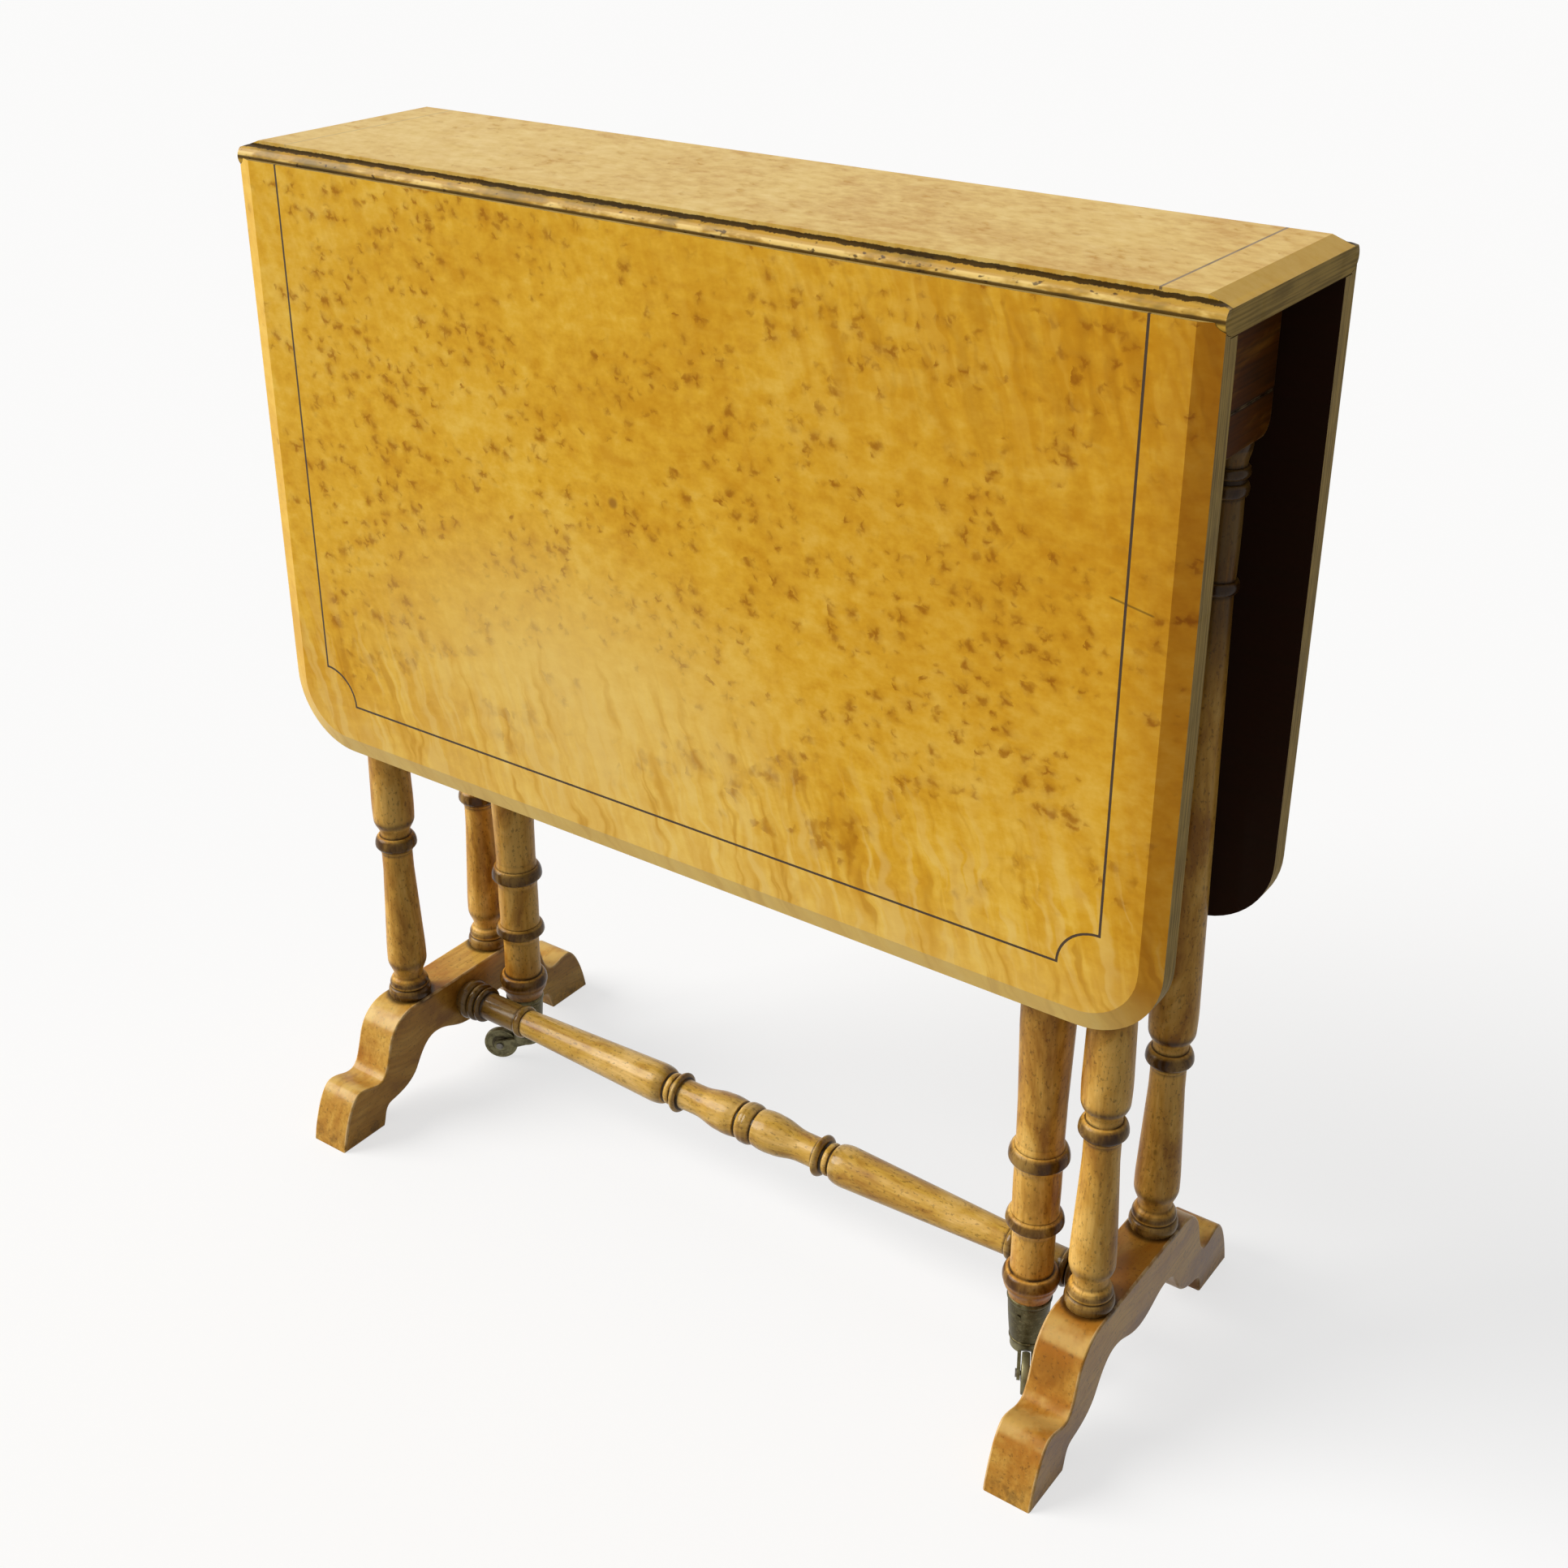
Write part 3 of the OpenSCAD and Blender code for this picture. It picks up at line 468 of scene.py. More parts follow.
def veneer(f, u, v, seed, tones, amount, low=0.0, flames=0.2, strength=1.0):
    """Figured veneer in the plane of u, along the grain, and v: colour, roughness and height."""
    flat = f.point(u, v, seed)
    light, middle, deep = tones
    cloud = f.noise(f.stretch(flat, (6, 9, 1)), 1, 3, 0.55, 0.5)
    mottle = f.noise(f.stretch(flat, (90, 120, 1)), 1, 3, 0.6)
    shade = f.plus(f.times(cloud, 0.5), f.times(mottle, 0.5))
    base = f.ramp(shade, (0.36, deep), (0.50, middle), (0.64, light))
    fibre = f.noise(f.stretch(flat, (30, 1100, 1)), 1, 2)
    base = f.lay(base, deep, f.rise(fibre, 0.35, 0.75, 0.10))
    slanted = f.point(f.plus(u, f.times(v, 0.3)), v, seed)
    waves = f.noise(f.stretch(slanted, (80, 12, 1)), 1, 2, 0.5, 0.8)
    curls = f.times(f.rise(waves, 0.44, 0.64), f.plus(flames, f.times(low, 0.6)))
    base = f.lay(base, deep, f.times(curls, 0.6))
    flare = f.fade(waves, 0.34, 0.50, 0.35)
    base = f.lay(base, light, f.times(flare, f.plus(0.25, low)))
    contour = f.maths("SINE", f.times(f.noise(f.stretch(flat, (3.5, 8, 1)), 1, 3), 150))
    base = f.lay(base, light, f.rise(contour, 0.55, 1.0, 0.08))
    eyes, halos, tuft = bird_eyes(f, u, v, seed, amount, low)
    base = f.lay(base, deep, f.times(tuft, 0.18))
    dark = f.plus(f.times(halos, 0.30 * strength), f.times(eyes, 0.51 * strength))
    base = f.lay(base, "eye", dark)
    roughness = f.plus(f.plus(0.32, f.times(cloud, 0.12)), f.times(eyes, 0.12))
    ripple = f.noise(f.stretch(flat, (14, 22, 1)), 1, 2)
    height = f.plus(f.times(ripple, 0.24 * MM), f.times(mottle, 0.04 * MM))
    height = f.plus(height, f.times(f.plus(eyes, f.times(curls, 0.5)), -0.03 * MM))
    return base, roughness, height


def core_edge(f, base, amount, through, along):
    """Bare edge of a board: pale wood with fine dark lines along it."""
    lines = f.noise(f.point(f.times(along, 16), f.times(through, 800)), 1, 2)
    patch = f.noise(f.point(f.times(along, 40), f.times(through, 60)), 1, 3)
    dark = f.rise(f.plus(lines, f.times(patch, 0.5)), 0.55, 0.95, 0.6)
    return f.mix(amount, base, f.lay(tone("core"), "core_line", dark))


def stain_and_shade(f, base, amount, u, v):
    """Dark stain with its own grain on an underside, deepened to near black as painted shade."""
    grain = f.noise(f.stretch(f.point(u, v, 4.0), (6, 140, 1)), 1, 3)
    return f.mix(amount, base, f.lay(tone("inside"), "grime_and_shade", f.rise(grain, 0.35, 0.7, 0.6)))


def worn_arris(f, base, amount):
    """Rubbed edges, patchy, on the faces marked as worn."""
    patch = f.rise(f.noise(f.place, 90, 3), 0.36, 0.62)
    return f.lay(base, "worn", f.times(f.times(f.mark("worn"), patch), amount))


def old_marks(f, base, x, z):
    """A small dark knot and one long scratch, which only the front leaf has."""
    knot = f.length(f.minus(x, KNOT[0]), f.minus(z, KNOT[1]))
    base = f.lay(base, "turned_deep", f.fade(knot, *KNOT_EDGE, 0.85))
    (x0, z0), (x1, z1) = SCRATCH
    from_middle = f.minus(x, (x0 + x1) / 2)
    fall = (z1 - z0) / (x1 - x0)
    off = f.minus(f.minus(z, (z0 + z1) / 2), f.times(from_middle, fall))
    beside = f.fade(f.unsigned(off), *SCRATCH_EDGE, 0.6)
    short_of_end = f.fade(f.unsigned(from_middle), (x1 - x0) * 0.4, (x1 - x0) / 2)
    return f.lay(base, "core_line", f.times(beside, short_of_end))


def leaf_streaks(f, base, x, z, seed, low, high):
    """Slanting streaks near the leaf's lower edge and in its upper right corner."""
    sway = f.times(f.minus(f.noise(f.point(x, z, seed), 38, 2), 0.5), 22 * MM)
    slanted = f.plus(f.plus(x, f.times(z, 0.30)), sway)
    streaks = f.noise(f.stretch(f.point(slanted, z, seed), (104, 15, 1)), 1, 2, 0.5, 0.4)
    base = f.lay(base, "honey_deep", f.times(f.rise(streaks, 0.50, 0.66, 0.42), low))
    base = f.lay(base, "eye", f.times(f.rise(streaks, 0.58, 0.72, 0.30), low))
    base = f.lay(base, "glow", f.times(f.fade(streaks, 0.36, 0.48, 0.34), low))
    base = f.lay(base, "eye", f.times(f.rise(streaks, 0.48, 0.68, 0.24), high))
    return f.lay(base, "honey_light", f.times(f.fade(streaks, 0.34, 0.46, 0.28), high))


def leaf_finish(side):
    """Veneer on the show face with painted sheen, light and shade, bare edges, and an inner face in dark stain
    with painted shade.
    """
    f = Finish(f"veneer_{side}", Specular_IOR_Level=0.10, Coat_Weight=0.03, Coat_Roughness=0.2)
    x, y, z = f.axes(f.place)
    lean_x, _, lean_z = f.axes(f.normal)
    facing = f.vector("DOT_PRODUCT", f.normal, (0, SIDES[side], 0))
    lo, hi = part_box(f"leaf_{side}")
    bottom, top, seed = lo.z, hi.z, VENEER_SEED[side]

    # Fewer eyes near the borders and on the right, streaks low down, flames in the upper right
    low = f.fade(z, bottom + 0.045, bottom + 0.16)
    border = f.plus(f.rise(f.unsigned(x), 0.272, 0.290, 0.06),
                    f.fade(z, bottom + 0.02, bottom + 0.07, 0.24))
    amount = f.minus(f.step(z, bottom + 0.08, bottom + 0.20, -0.03, 0.035),
                     f.plus(f.rise(x, 0.05, 0.30, 0.03), border))
    flames = f.plus(f.step(z, top - 0.09, top - 0.02, 0.2, 0.5),
                    f.times(f.rise(z, top - 0.12, top - 0.03), f.rise(x, 0.0, 0.2, 0.6)))
    base, roughness, height = veneer(f, x, z, seed, HONEY, amount, low, flames)

    # Painted sheen as a pale patch low on the leaf and along its lower border, then painted shade toward the
    # right, and painted light and shade on the sloping edges
    from_sheen_patch = f.length(f.times(f.plus(x, 0.08), 6.0), f.times(f.minus(z, bottom + 0.10), 9.5))
    base = f.lay(base, "glow", f.fade(from_sheen_patch, 0.0, 1.35, 0.55))
    base = f.lay(base, "glow", f.fade(z, bottom, bottom + 0.07, 0.35))
    high = f.times(f.rise(z, top - 0.14, top - 0.03), f.rise(x, 0.0, 0.16))
    base = leaf_streaks(f, base, x, z, seed, low, high)
    # Painted shade: the face darker toward the right, less so low down, and darker still on its right border
    toward_right = f.times(f.rise(x, -0.12, 0.33), f.rise(z, bottom + 0.02, bottom + 0.20))
    base = f.tint(base, (0.90, 0.83, 0.68), toward_right)
    base = f.tint(base, (0.84, 0.78, 0.70), f.rise(x, 0.28, 0.312))
    # Painted light on the left-facing slope, painted sheen on the downward-facing lower slope, painted shade on
    # the right-facing slope
    base = f.lay(base, "honey_light", f.fade(lean_x, -0.30, -0.05, 0.35))
    base = f.lay(base, "glow", f.fade(lean_z, -0.30, -0.05, 0.50))
    base = f.tint(base, (0.92, 0.80, 0.60), f.rise(lean_x, 0.05, 0.30))
    if side == "front":
        base = old_marks(f, base, x, z)

    edge = f.fade(facing, 0.45, 0.75)
    bare = f.times(edge, f.step(lean_z, -0.8, -0.5, 0.35, 1.0))
    base = core_edge(f, base, bare, y, f.plus(x, z))
    # Inner face in dark stain with painted shade
    base = stain_and_shade(f, base, f.fade(facing, -0.75, -0.45), x, z)
    base = worn_arris(f, base, 0.45)
    return f.finish(base, f.plus(roughness, f.times(edge, 0.25)), height)


def quarter_round(f, patch):
    """Rubbed moulding along the top's sides: greyed, pitted, with a painted highlight along its crest."""
    _, _, z = f.axes(f.place)
    streak = f.noise(f.stretch(f.place, (20, 300, 300)), 1, 3)
    rubbed = f.lay(tone("top_deep"), "gold", f.rise(streak, 0.38, 0.62))
    rubbed = f.lay(rubbed, "dulled", f.step(patch, 0.46, 0.66, 0.15, 0.75))
    # Painted highlight along the moulding's crest
    crest = f.inside(z, FILLET_Z - 5.6 * MM, FILLET_Z - 3.6 * MM, 0.8 * MM)
    rubbed = f.lay(rubbed, "glow", f.times(crest, f.step(patch, 0.42, 0.52, 0.75, 0.05)))
    pits = f.rise(f.noise(f.stretch(f.place, (150, 260, 260)), 1, 2), 0.62, 0.70, 0.8)
    return f.lay(rubbed, "ring", pits)


def top_finish():
    """Pale veneer with painted sheen, a rubbed quarter round with old polish and painted shade in its quirk, an
    underside in dark stain with painted shade.
    """
    f = Finish("veneer_top", Specular_IOR_Level=0.08, Coat_Weight=0.02, Coat_Roughness=0.2)
    x, y, z = f.axes(f.place)
    along, _, up = f.axes(f.normal)
    # Paler tones and fainter eyes than on the leaves: painted sheen
    base, roughness, height = veneer(f, f.plus(x, f.times(y, 0.35)), y, VENEER_SEED["top"],
                                     ("top_light", "top_middle", "top_deep"), -0.02, strength=0.42)
    slope = CAD_BOX[1].x - BEVEL_WIDTH
    on_slope = f.rise(f.unsigned(x), slope - 0.2 * MM, slope + 0.2 * MM, 0.62)
    base = f.lay(base, "top_slope", on_slope)

    out = f.unsigned(y)
    moulding = f.times(f.rise(out, FLAT_HALF + 0.1 * MM, FLAT_HALF + 0.4 * MM),
                       f.rise(z, FILLET_Z - 9 * MM, FILLET_Z - 7 * MM))
    patch = f.noise(f.stretch(f.place, (26, 60, 60)), 1, 4, 0.65)
    base = f.mix(moulding, base, quarter_round(f, patch))

    # Old polish with painted shade in the quirk, old polish spilt over the moulding, painted shade in the joint
    # with the leaf
    ragged = f.minus(f.noise(f.stretch(f.place, (95, 0, 0)), 1, 6, 0.8), 0.5)
    ragged = f.times(ragged, 3.4 * MM)
    wall = f.rise(out, FLAT_HALF - 0.6 * MM, FLAT_HALF - 0.1 * MM)
    quirk = f.inside(f.plus(z, ragged), FILLET_Z - 0.6 * MM, FILLET_Z + 0.8 * MM, 0.4 * MM)
    spill = f.fade(f.plus(out, ragged), FLAT_HALF, FLAT_HALF + 3.6 * MM, 0.8)
    joint = f.fade(f.plus(z, f.times(ragged, 0.3)), FILLET_Z - 6.2 * MM, FILLET_Z - 5.2 * MM, 0.9)
    polish_and_shade = f.most(f.times(wall, quirk), f.most(f.times(moulding, spill), f.times(moulding, joint)))
    base = f.lay(base, "grime_and_shade", f.times(polish_and_shade, 0.92))

    end = f.rise(f.unsigned(along), 0.6, 0.85)
    base = core_edge(f, base, end, z, y)
    # Underside in dark stain with painted shade
    base = stain_and_shade(f, base, f.fade(up, -0.75, -0.45), x, y)
    base = worn_arris(f, base, 0.30)
    roughness = f.plus(f.minus(roughness, f.times(moulding, 0.14)),
                       f.plus(f.times(polish_and_shade, 0.3), f.times(end, 0.3)))
    return f.finish(base, roughness, height)


def grain_axes(f, axis):
    """Place as (along the grain, across, across)."""
    parts = f.axes(f.place)
    first = "xyz".index(axis)
    return parts[first], parts[(first + 1) % 3], parts[(first + 2) % 3]


def speckles(f, place):
    """Small dark specks, one in five of the cells that the grain is cut into."""
    cells = f.cells(f.stretch(place, (80, 170, 170)))
    chance = f.axes(cells["Color"])[0]
    return f.times(f.fade(cells["Distance"], 0.08, 0.24), f.rise(chance, 0.78, 0.84))


def turned_finish(name, axis, tones=("turned_light", "turned", "turned_deep"), gloss=0.34,
                  coat=0.06, warm_below=None, dark_below=None, dark_beyond=None, shaded_above=None,
                  ring_dark=0.92):
    """Polished turned wood: mottled, speckled, streaked along the grain, its rings darkened."""
    f = Finish(name, Specular_IOR_Level=0.14, Coat_Weight=coat, Coat_Roughness=0.12)
    along, across, other = grain_axes(f, axis)
    place = f.point(along, across, other)
    light, middle, deep = tones
    cloud = f.noise(f.stretch(place, (16, 50, 50)), 1, 4, 0.65, 0.4)
    base = f.ramp(cloud, (0.36, deep), (0.50, middle), (0.62, light))
    if warm_below is not None:
        level = f.plus(along, f.times(cloud, 0.08))
        base = f.lay(base, "amber", f.fade(level, warm_below, warm_below + 80 * MM, 0.6))
    if dark_beyond is not None:
        dark = f.rise(f.unsigned(along), dark_beyond, dark_beyond + 6 * MM, 0.65)
        base = f.lay(base, "ring", dark)
    # Painted shade: the column darkened toward its top, under the table's top and between the leaves
    if shaded_above is not None:
        base = f.lay(base, "ring", f.rise(along, shaded_above, shaded_above + 80 * MM, 0.82))
    fibre = f.noise(f.stretch(place, (24, 640, 640)), 1, 3)
    base = f.lay(base, deep, f.rise(fibre, 0.42, 0.72, 0.30))
    pores = f.noise(f.stretch(place, (330, 620, 620)), 1, 2)
    base = f.lay(base, "ring", f.rise(pores, 0.56, 0.70, 0.45))
    specks = speckles(f, place)
    base = f.lay(base, "grime_and_shade", f.times(specks, 0.42))
    ring = f.mark("ring")
    if dark_below is not None:
        foot = f.fade(along, dark_below - 1 * MM, dark_below + 3 * MM, 0.85)
        ring = f.most(ring, foot)
    rubbed = f.step(cloud, 0.40, 0.62, ring_dark, 0.7 * ring_dark)
    base = f.lay(base, "ring", f.times(ring, rubbed))
    # Darkened in the hollows: old polish and painted shade
    grime_and_shade = f.times(f.mark("hollow"), f.step(f.noise(place, 80, 3), 0.25, 0.5, 0.55, 0.95))
    base = f.lay(base, "grime_and_shade", grime_and_shade)
    base = worn_arris(f, base, 0.6)
    roughness = f.plus(f.plus(gloss, f.times(cloud, 0.14)), f.times(grime_and_shade, 0.2))
    roughness = f.minus(roughness, f.times(ring, 0.14))
    height = f.plus(f.times(f.noise(place, 60, 3), 0.18 * MM), f.times(fibre, 0.02 * MM))
    return f.finish(base, roughness, f.plus(height, f.times(specks, -0.1 * MM)))


def foot_finish():
    """Feet: grain along the foot, worn arrises, warmer painted light on upward faces, painted highlights on the
    bends, scuffs near the floor, painted shade round the columns.
    """
    f = Finish("foot_wood", Specular_IOR_Level=0.14, Coat_Weight=0.1, Coat_Roughness=0.14)
    x, y, z = f.axes(f.place)
    up = f.axes(f.normal)[2]
    cloud = f.noise(f.stretch(f.place, (26, 14, 24)), 1, 4, 0.62, 0.5)
    base = f.ramp(cloud, (0.36, "turned_deep"), (0.50, "turned"), (0.64, "turned_light"))
    # Upward faces laid in warmer amber and gold: painted light
    golden = f.rise(f.plus(cloud, f.fade(x, -0.1, 0.1, 0.12)), 0.46, 0.72)
    base = f.mix(f.rise(up, 0.10, 0.5, 0.75), base, f.lay(tone("amber"), "gold", golden))
    bent = f.plus(z, f.times(f.noise(f.stretch(f.place, (8, 9, 9)), 1, 2), 0.05))
    fibre = f.noise(f.point(f.times(x, 420), f.times(y, 20), f.times(bent, 420)), 1, 3)
    base = f.lay(base, "turned_deep", f.rise(fibre, 0.38, 0.72, 0.45))
    base = f.lay(base, "ring", f.rise(f.noise(f.place, 420, 2), 0.58, 0.72, 0.4))

    # Painted highlights on the two bends of each end, scuffs near the floor, painted shade round the columns
    bends = f.plus(*(f.inside(z, low, high, 3 * MM) for low, high in FOOT_BENDS))
    highlight_patch = f.step(f.noise(f.place, 60, 3, 0.5), 0.34, 0.62, 0.05, 0.50)
    base = f.lay(base, "glow", f.times(f.times(bends, f.rise(up, 0.25, 0.6)), highlight_patch))
    low = f.fade(z, 0.0, 20 * MM)
    scuffs = f.times(low, f.rise(f.noise(f.place, 120, 4, 0.7), 0.44, 0.62))
    base = f.lay(base, "grime_and_shade", f.times(scuffs, 0.5))
    # Painted shadow on each foot round the foot of its column
    away = f.length(f.minus(f.unsigned(x), TRESTLE_X), f.minus(f.unsigned(y), COLUMN_Y))
    shadow = f.times(f.fade(away, 15.5 * MM, 19.5 * MM), f.rise(z, 80 * MM, 83 * MM))
    base = f.lay(base, "grime_and_shade", f.times(shadow, 0.8))
    base = worn_arris(f, base, 0.75)
    base = f.tint(base, (0.84, 0.80, 0.70), f.step(x, -0.1, 0.1, 0.3, 1.0))
    roughness = f.plus(f.plus(0.28, f.times(cloud, 0.15)), f.times(low, 0.15))
    height = f.plus(f.times(f.noise(f.place, 55, 3), 0.35 * MM), f.times(fibre, 0.03 * MM))
    return f.finish(base, roughness, height)


def rail_finish(axis):
    """Stained blocks and rails under the top, with a dark seam above the lower cross rails."""
    f = Finish(f"rail_wood_{axis}", Specular_IOR_Level=0.05)
    place = f.point(*grain_axes(f, axis))
    cloud = f.noise(f.stretch(place, (9, 30, 30)), 1, 4, 0.6, 0.4)
    base = f.ramp(cloud, (0.30, "ring"), (0.50, "rail"), (0.72, "turned_deep"))
    fibre = f.noise(f.stretch(place, (14, 520, 520)), 1, 3)
    base = f.lay(base, "grime_and_shade", f.rise(fibre, 0.4, 0.7, 0.5))
    from_seam = f.unsigned(f.minus(f.axes(f.place)[2], SEAM_Z))
    base = f.lay(base, "grime_and_shade", f.fade(from_seam, 0.8 * MM, 2.2 * MM, 0.95))
    base = worn_arris(f, base, 0.25)
    height = f.plus(f.times(fibre, 0.06 * MM), f.times(cloud, 0.2 * MM))
    return f.finish(base, f.plus(0.42, f.times(cloud, 0.2)), height)


def string_finish(name, shade, sheen_on_left=False):
    """Dark inlaid line, greyed here and there along its length."""
    f = Finish(name, Specular_IOR_Level=0.4)
    grain = f.noise(f.place, 70, 3)
    base = f.lay(tone(shade), "core_line", f.rise(grain, 0.4, 0.75, 0.5))
    # Painted sheen: the line on the top's left half washed toward the top's tone
    if sheen_on_left:
        base = f.lay(base, "top_middle", f.fade(f.axes(f.place)[0], -0.1, 0.1, 0.65))
    return f.finish(base, f.plus(0.35, f.times(grain, 0.2)), f.times(grain, 0.05 * MM))


def metal_finish(name, shade, dark, metallic, roughness):
    """Old metal with dark tarnish in patches and fine scratches."""
    f = Finish(name, Metallic=metallic, Specular_IOR_Level=0.5)
    cloud = f.noise(f.place, 180, 4, 0.65)
    scratch = f.noise(f.stretch(f.place, (900, 120, 900)), 1, 2)
    tarnish = f.rise(cloud, 0.42, 0.66, 0.5)
    base = f.lay(tone(shade), dark, tarnish)
    base = f.lay(base, "worn", f.rise(scratch, 0.58, 0.8, 0.18))
    base = f.lay(base, "grime_and_shade", f.times(f.mark("hollow"), 0.7))
    rough = f.plus(f.plus(roughness, f.times(tarnish, 0.25)), f.times(scratch, 0.08))
    height = f.plus(f.times(cloud, 0.08 * MM), f.times(scratch, 0.01 * MM))
    return f.finish(base, rough, height)


FINISHES = {
    "veneer_front": lambda: leaf_finish("front"),
    "veneer_rear": lambda: leaf_finish("rear"),
    "veneer_top": top_finish,
    "turned_column": lambda: turned_finish("turned_column", "z", dark_below=0.092, shaded_above=0.43),
    "turned_gate": lambda: turned_finish("turned_gate", "z", warm_below=0.09),
    "turned_stretcher": lambda: turned_finish(
        "turned_stretcher", "x", ("gold_light", "gold", "gold_deep"), gloss=0.24, coat=0.2,
        dark_beyond=0.205, ring_dark=0.35),
    "foot": foot_finish,
    "rail_x": lambda: rail_finish("x"),
    "rail_y": lambda: rail_finish("y"),
    "string": lambda: string_finish("string_wood", "string"),
    "string_top": lambda: string_finish("string_wood_top", "string_faded", sheen_on_left=True),
    "brass": lambda: metal_finish("old_brass", "brass", "bronze", 0.85, 0.36),
    "bronze": lambda: metal_finish("dark_bronze", "bronze", "grime_and_shade", 0.7, 0.42),
    "steel": lambda: metal_finish("old_steel", "steel", "grime_and_shade", 0.9, 0.40),
}
made_finishes = {}


def finish(name):
    if name not in made_finishes:
        made_finishes[name] = FINISHES[name]()
    return made_finishes[name]


# Shapes

def body_of(node):
    for body, members in frame["record"]["behaviour"]["bodies"].items():
        if node in members:
            return body
    raise RuntimeError(f"no body holds {node}")


def mesh_of(name, bm):
    mesh = bpy.data.meshes.new(name)
    bm.to_mesh(mesh)
    bm.free()
    return mesh


def object_of(name, data):
    made = bpy.data.objects.new(name, data)
    bpy.context.scene.collection.objects.link(made)
    return made


def piece(name, bm, material, *nodes, weighted=False):
    """Makes the finished object, which stands for its nodes and rides on their body."""
    for edge in bm.edges:
        flat = len(edge.link_faces) == 2 and edge.calc_face_angle(0) < CREASE
        edge.smooth = flat and not edge.seam
    for face in bm.faces:
        face.smooth = True
    made = object_of(name, mesh_of(name, bm))
    made.data.materials.append(finish(material))
    if weighted:
        normals = made.modifiers.new("even_normals", "WEIGHTED_NORMAL")
        normals.keep_sharp = True
        normals.weight = 100
    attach(made, body_of(nodes[0]))
    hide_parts(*nodes)


def dress(material, *nodes):
    """Gives frame nodes that keep their own shape their finish."""
    for name in nodes:
        mesh = frame["nodes"][name].data
        mesh.materials.clear()
        mesh.materials.append(finish(material))
        for polygon in mesh.polygons:
            polygon.material_index = 0


def number_layer(layers, name):
    """The layer of numbers with this name, made where it isn't there."""
    return layers.float.get(name) or layers.float.new(name)


def ease(bm, edges, width, segments=3):
    """Rounds these edges and marks the new faces as worn."""
    layer = number_layer(bm.loops.layers, "worn")
    made = bmesh.ops.bevel(bm, geom=edges, offset=width, offset_type="OFFSET", segments=segments,
                           profile=0.5, affect="EDGES", material=-1, clamp_overlap=True)
    for face in made["faces"]:
        for loop in face.loops:
            loop[layer] = 1.0


def node_copy(name):
    """The node's own solid, its loose triangles merged; its slight bends are marked as seams."""
    bm = bmesh.new()
    bm.from_mesh(frame["nodes"][name].data)
    bmesh.ops.remove_doubles(bm, verts=bm.verts, dist=WELD)
    bmesh.ops.dissolve_limit(bm, angle_limit=FLAT, verts=bm.verts, edges=bm.edges)
    for edge in bm.edges:
        edge.seam = SLIGHT_BEND[0] < edge.calc_face_angle(0) < SLIGHT_BEND[1]
    return bm


def outward_edges(bm):
    return [edge for edge in bm.edges
            if len(edge.link_faces) == 2 and edge.calc_face_angle_signed(0) >= SHARP]


def edges_in(bm, chosen):
    """Outward edges that lie in a chosen place from end to end."""
    found = []
    for edge in outward_edges(bm):
        a, b = (v.co for v in edge.verts)
        if chosen(a) and chosen(b) and chosen((a + b) / 2):
            found.append(edge)
    return found


def box_edges(bm, lo, hi, outline_axis=None):
    """Outward edges on two of the box's planes, or on a plane across outline_axis."""
    def planes(point):
        return {(i, side) for i in range(3) for side, plane in ((0, lo), (1, hi))
                if abs(point[i] - plane[i]) < ON_PLANE}
    found = []
    for edge in outward_edges(bm):
        shared = planes(edge.verts[0].co) & planes(edge.verts[1].co)
        if len(shared) >= 2 or any(i == outline_axis for i, _ in shared):
            found.append(edge)
    return found


def ring(a, widest_at, b, edge, widest):
    """Ring between a and b along the axis, as (radius, distance) points in millimetres."""
    n = sizes().curve_points
    points = []
    for i in range(n + 1):
        angle = math.pi * i / n
        reach = widest_at - a if angle < math.pi / 2 else b - widest_at
        radius = edge + (widest - edge) * math.sin(angle)
        points.append((radius, widest_at - reach * math.cos(angle)))
    return points


def bead(a, b, edge, widest):
    """Even ring between a and b."""
    return ring(a, (a + b) / 2, b, edge, widest)


def flow(a, from_r, b, to_r):
    """S-shaped run from one radius to another."""
    n = sizes().curve_points
    return [(from_r + (to_r - from_r) * (1 - math.cos(math.pi * i / n)) / 2,
             a + (b - a) * i / n) for i in range(n + 1)]


def bow(a, from_r, b, to_r, rise):
    """Gently bowed run, rise millimetres fuller at its middle."""
    n = sizes().curve_points
    return [(from_r + (to_r - from_r) * i / n + rise * 4 * i / n * (1 - i / n),
             a + (b - a) * i / n) for i in range(n + 1)]


def bend(a, b, c, d):
    """One smooth stretch of an outline between a and d."""
    n = sizes().curve_points
    points = []
    for i in range(n + 1):
        t = i / n
        weights = ((1 - t) ** 3, 3 * (1 - t) ** 2 * t, 3 * (1 - t) * t ** 2, t ** 3)
        points.append(tuple(sum(w * p[k] for w, p in zip(weights, (a, b, c, d))) for k in (0, 1)))
    return points


def thin_out(points):
    """The points without those that lie too near the one before."""
    kept = [points[0]]
    for point in points[1:]:
        if math.dist(point, kept[-1]) > SHORTEST:
            kept.append(point)
    return kept


def around(profile, distance, reach):
    """Mean radius of a profile within reach of a place along it."""
    near = [r for r, t in profile if abs(t - distance) <= reach]
    return sum(near) / len(near)


def divide(profile, longest):
    """The same profile with no stretch longer than this."""
    points = []
    for (r0, t0), (r1, t1) in zip(profile, profile[1:]):
        count = max(1, math.ceil(math.hypot(r1 - r0, t1 - t0) / longest))
        points += [(r0 + (r1 - r0) * i / count, t0 + (t1 - t0) * i / count) for i in range(count)]
    return points + [profile[-1]]


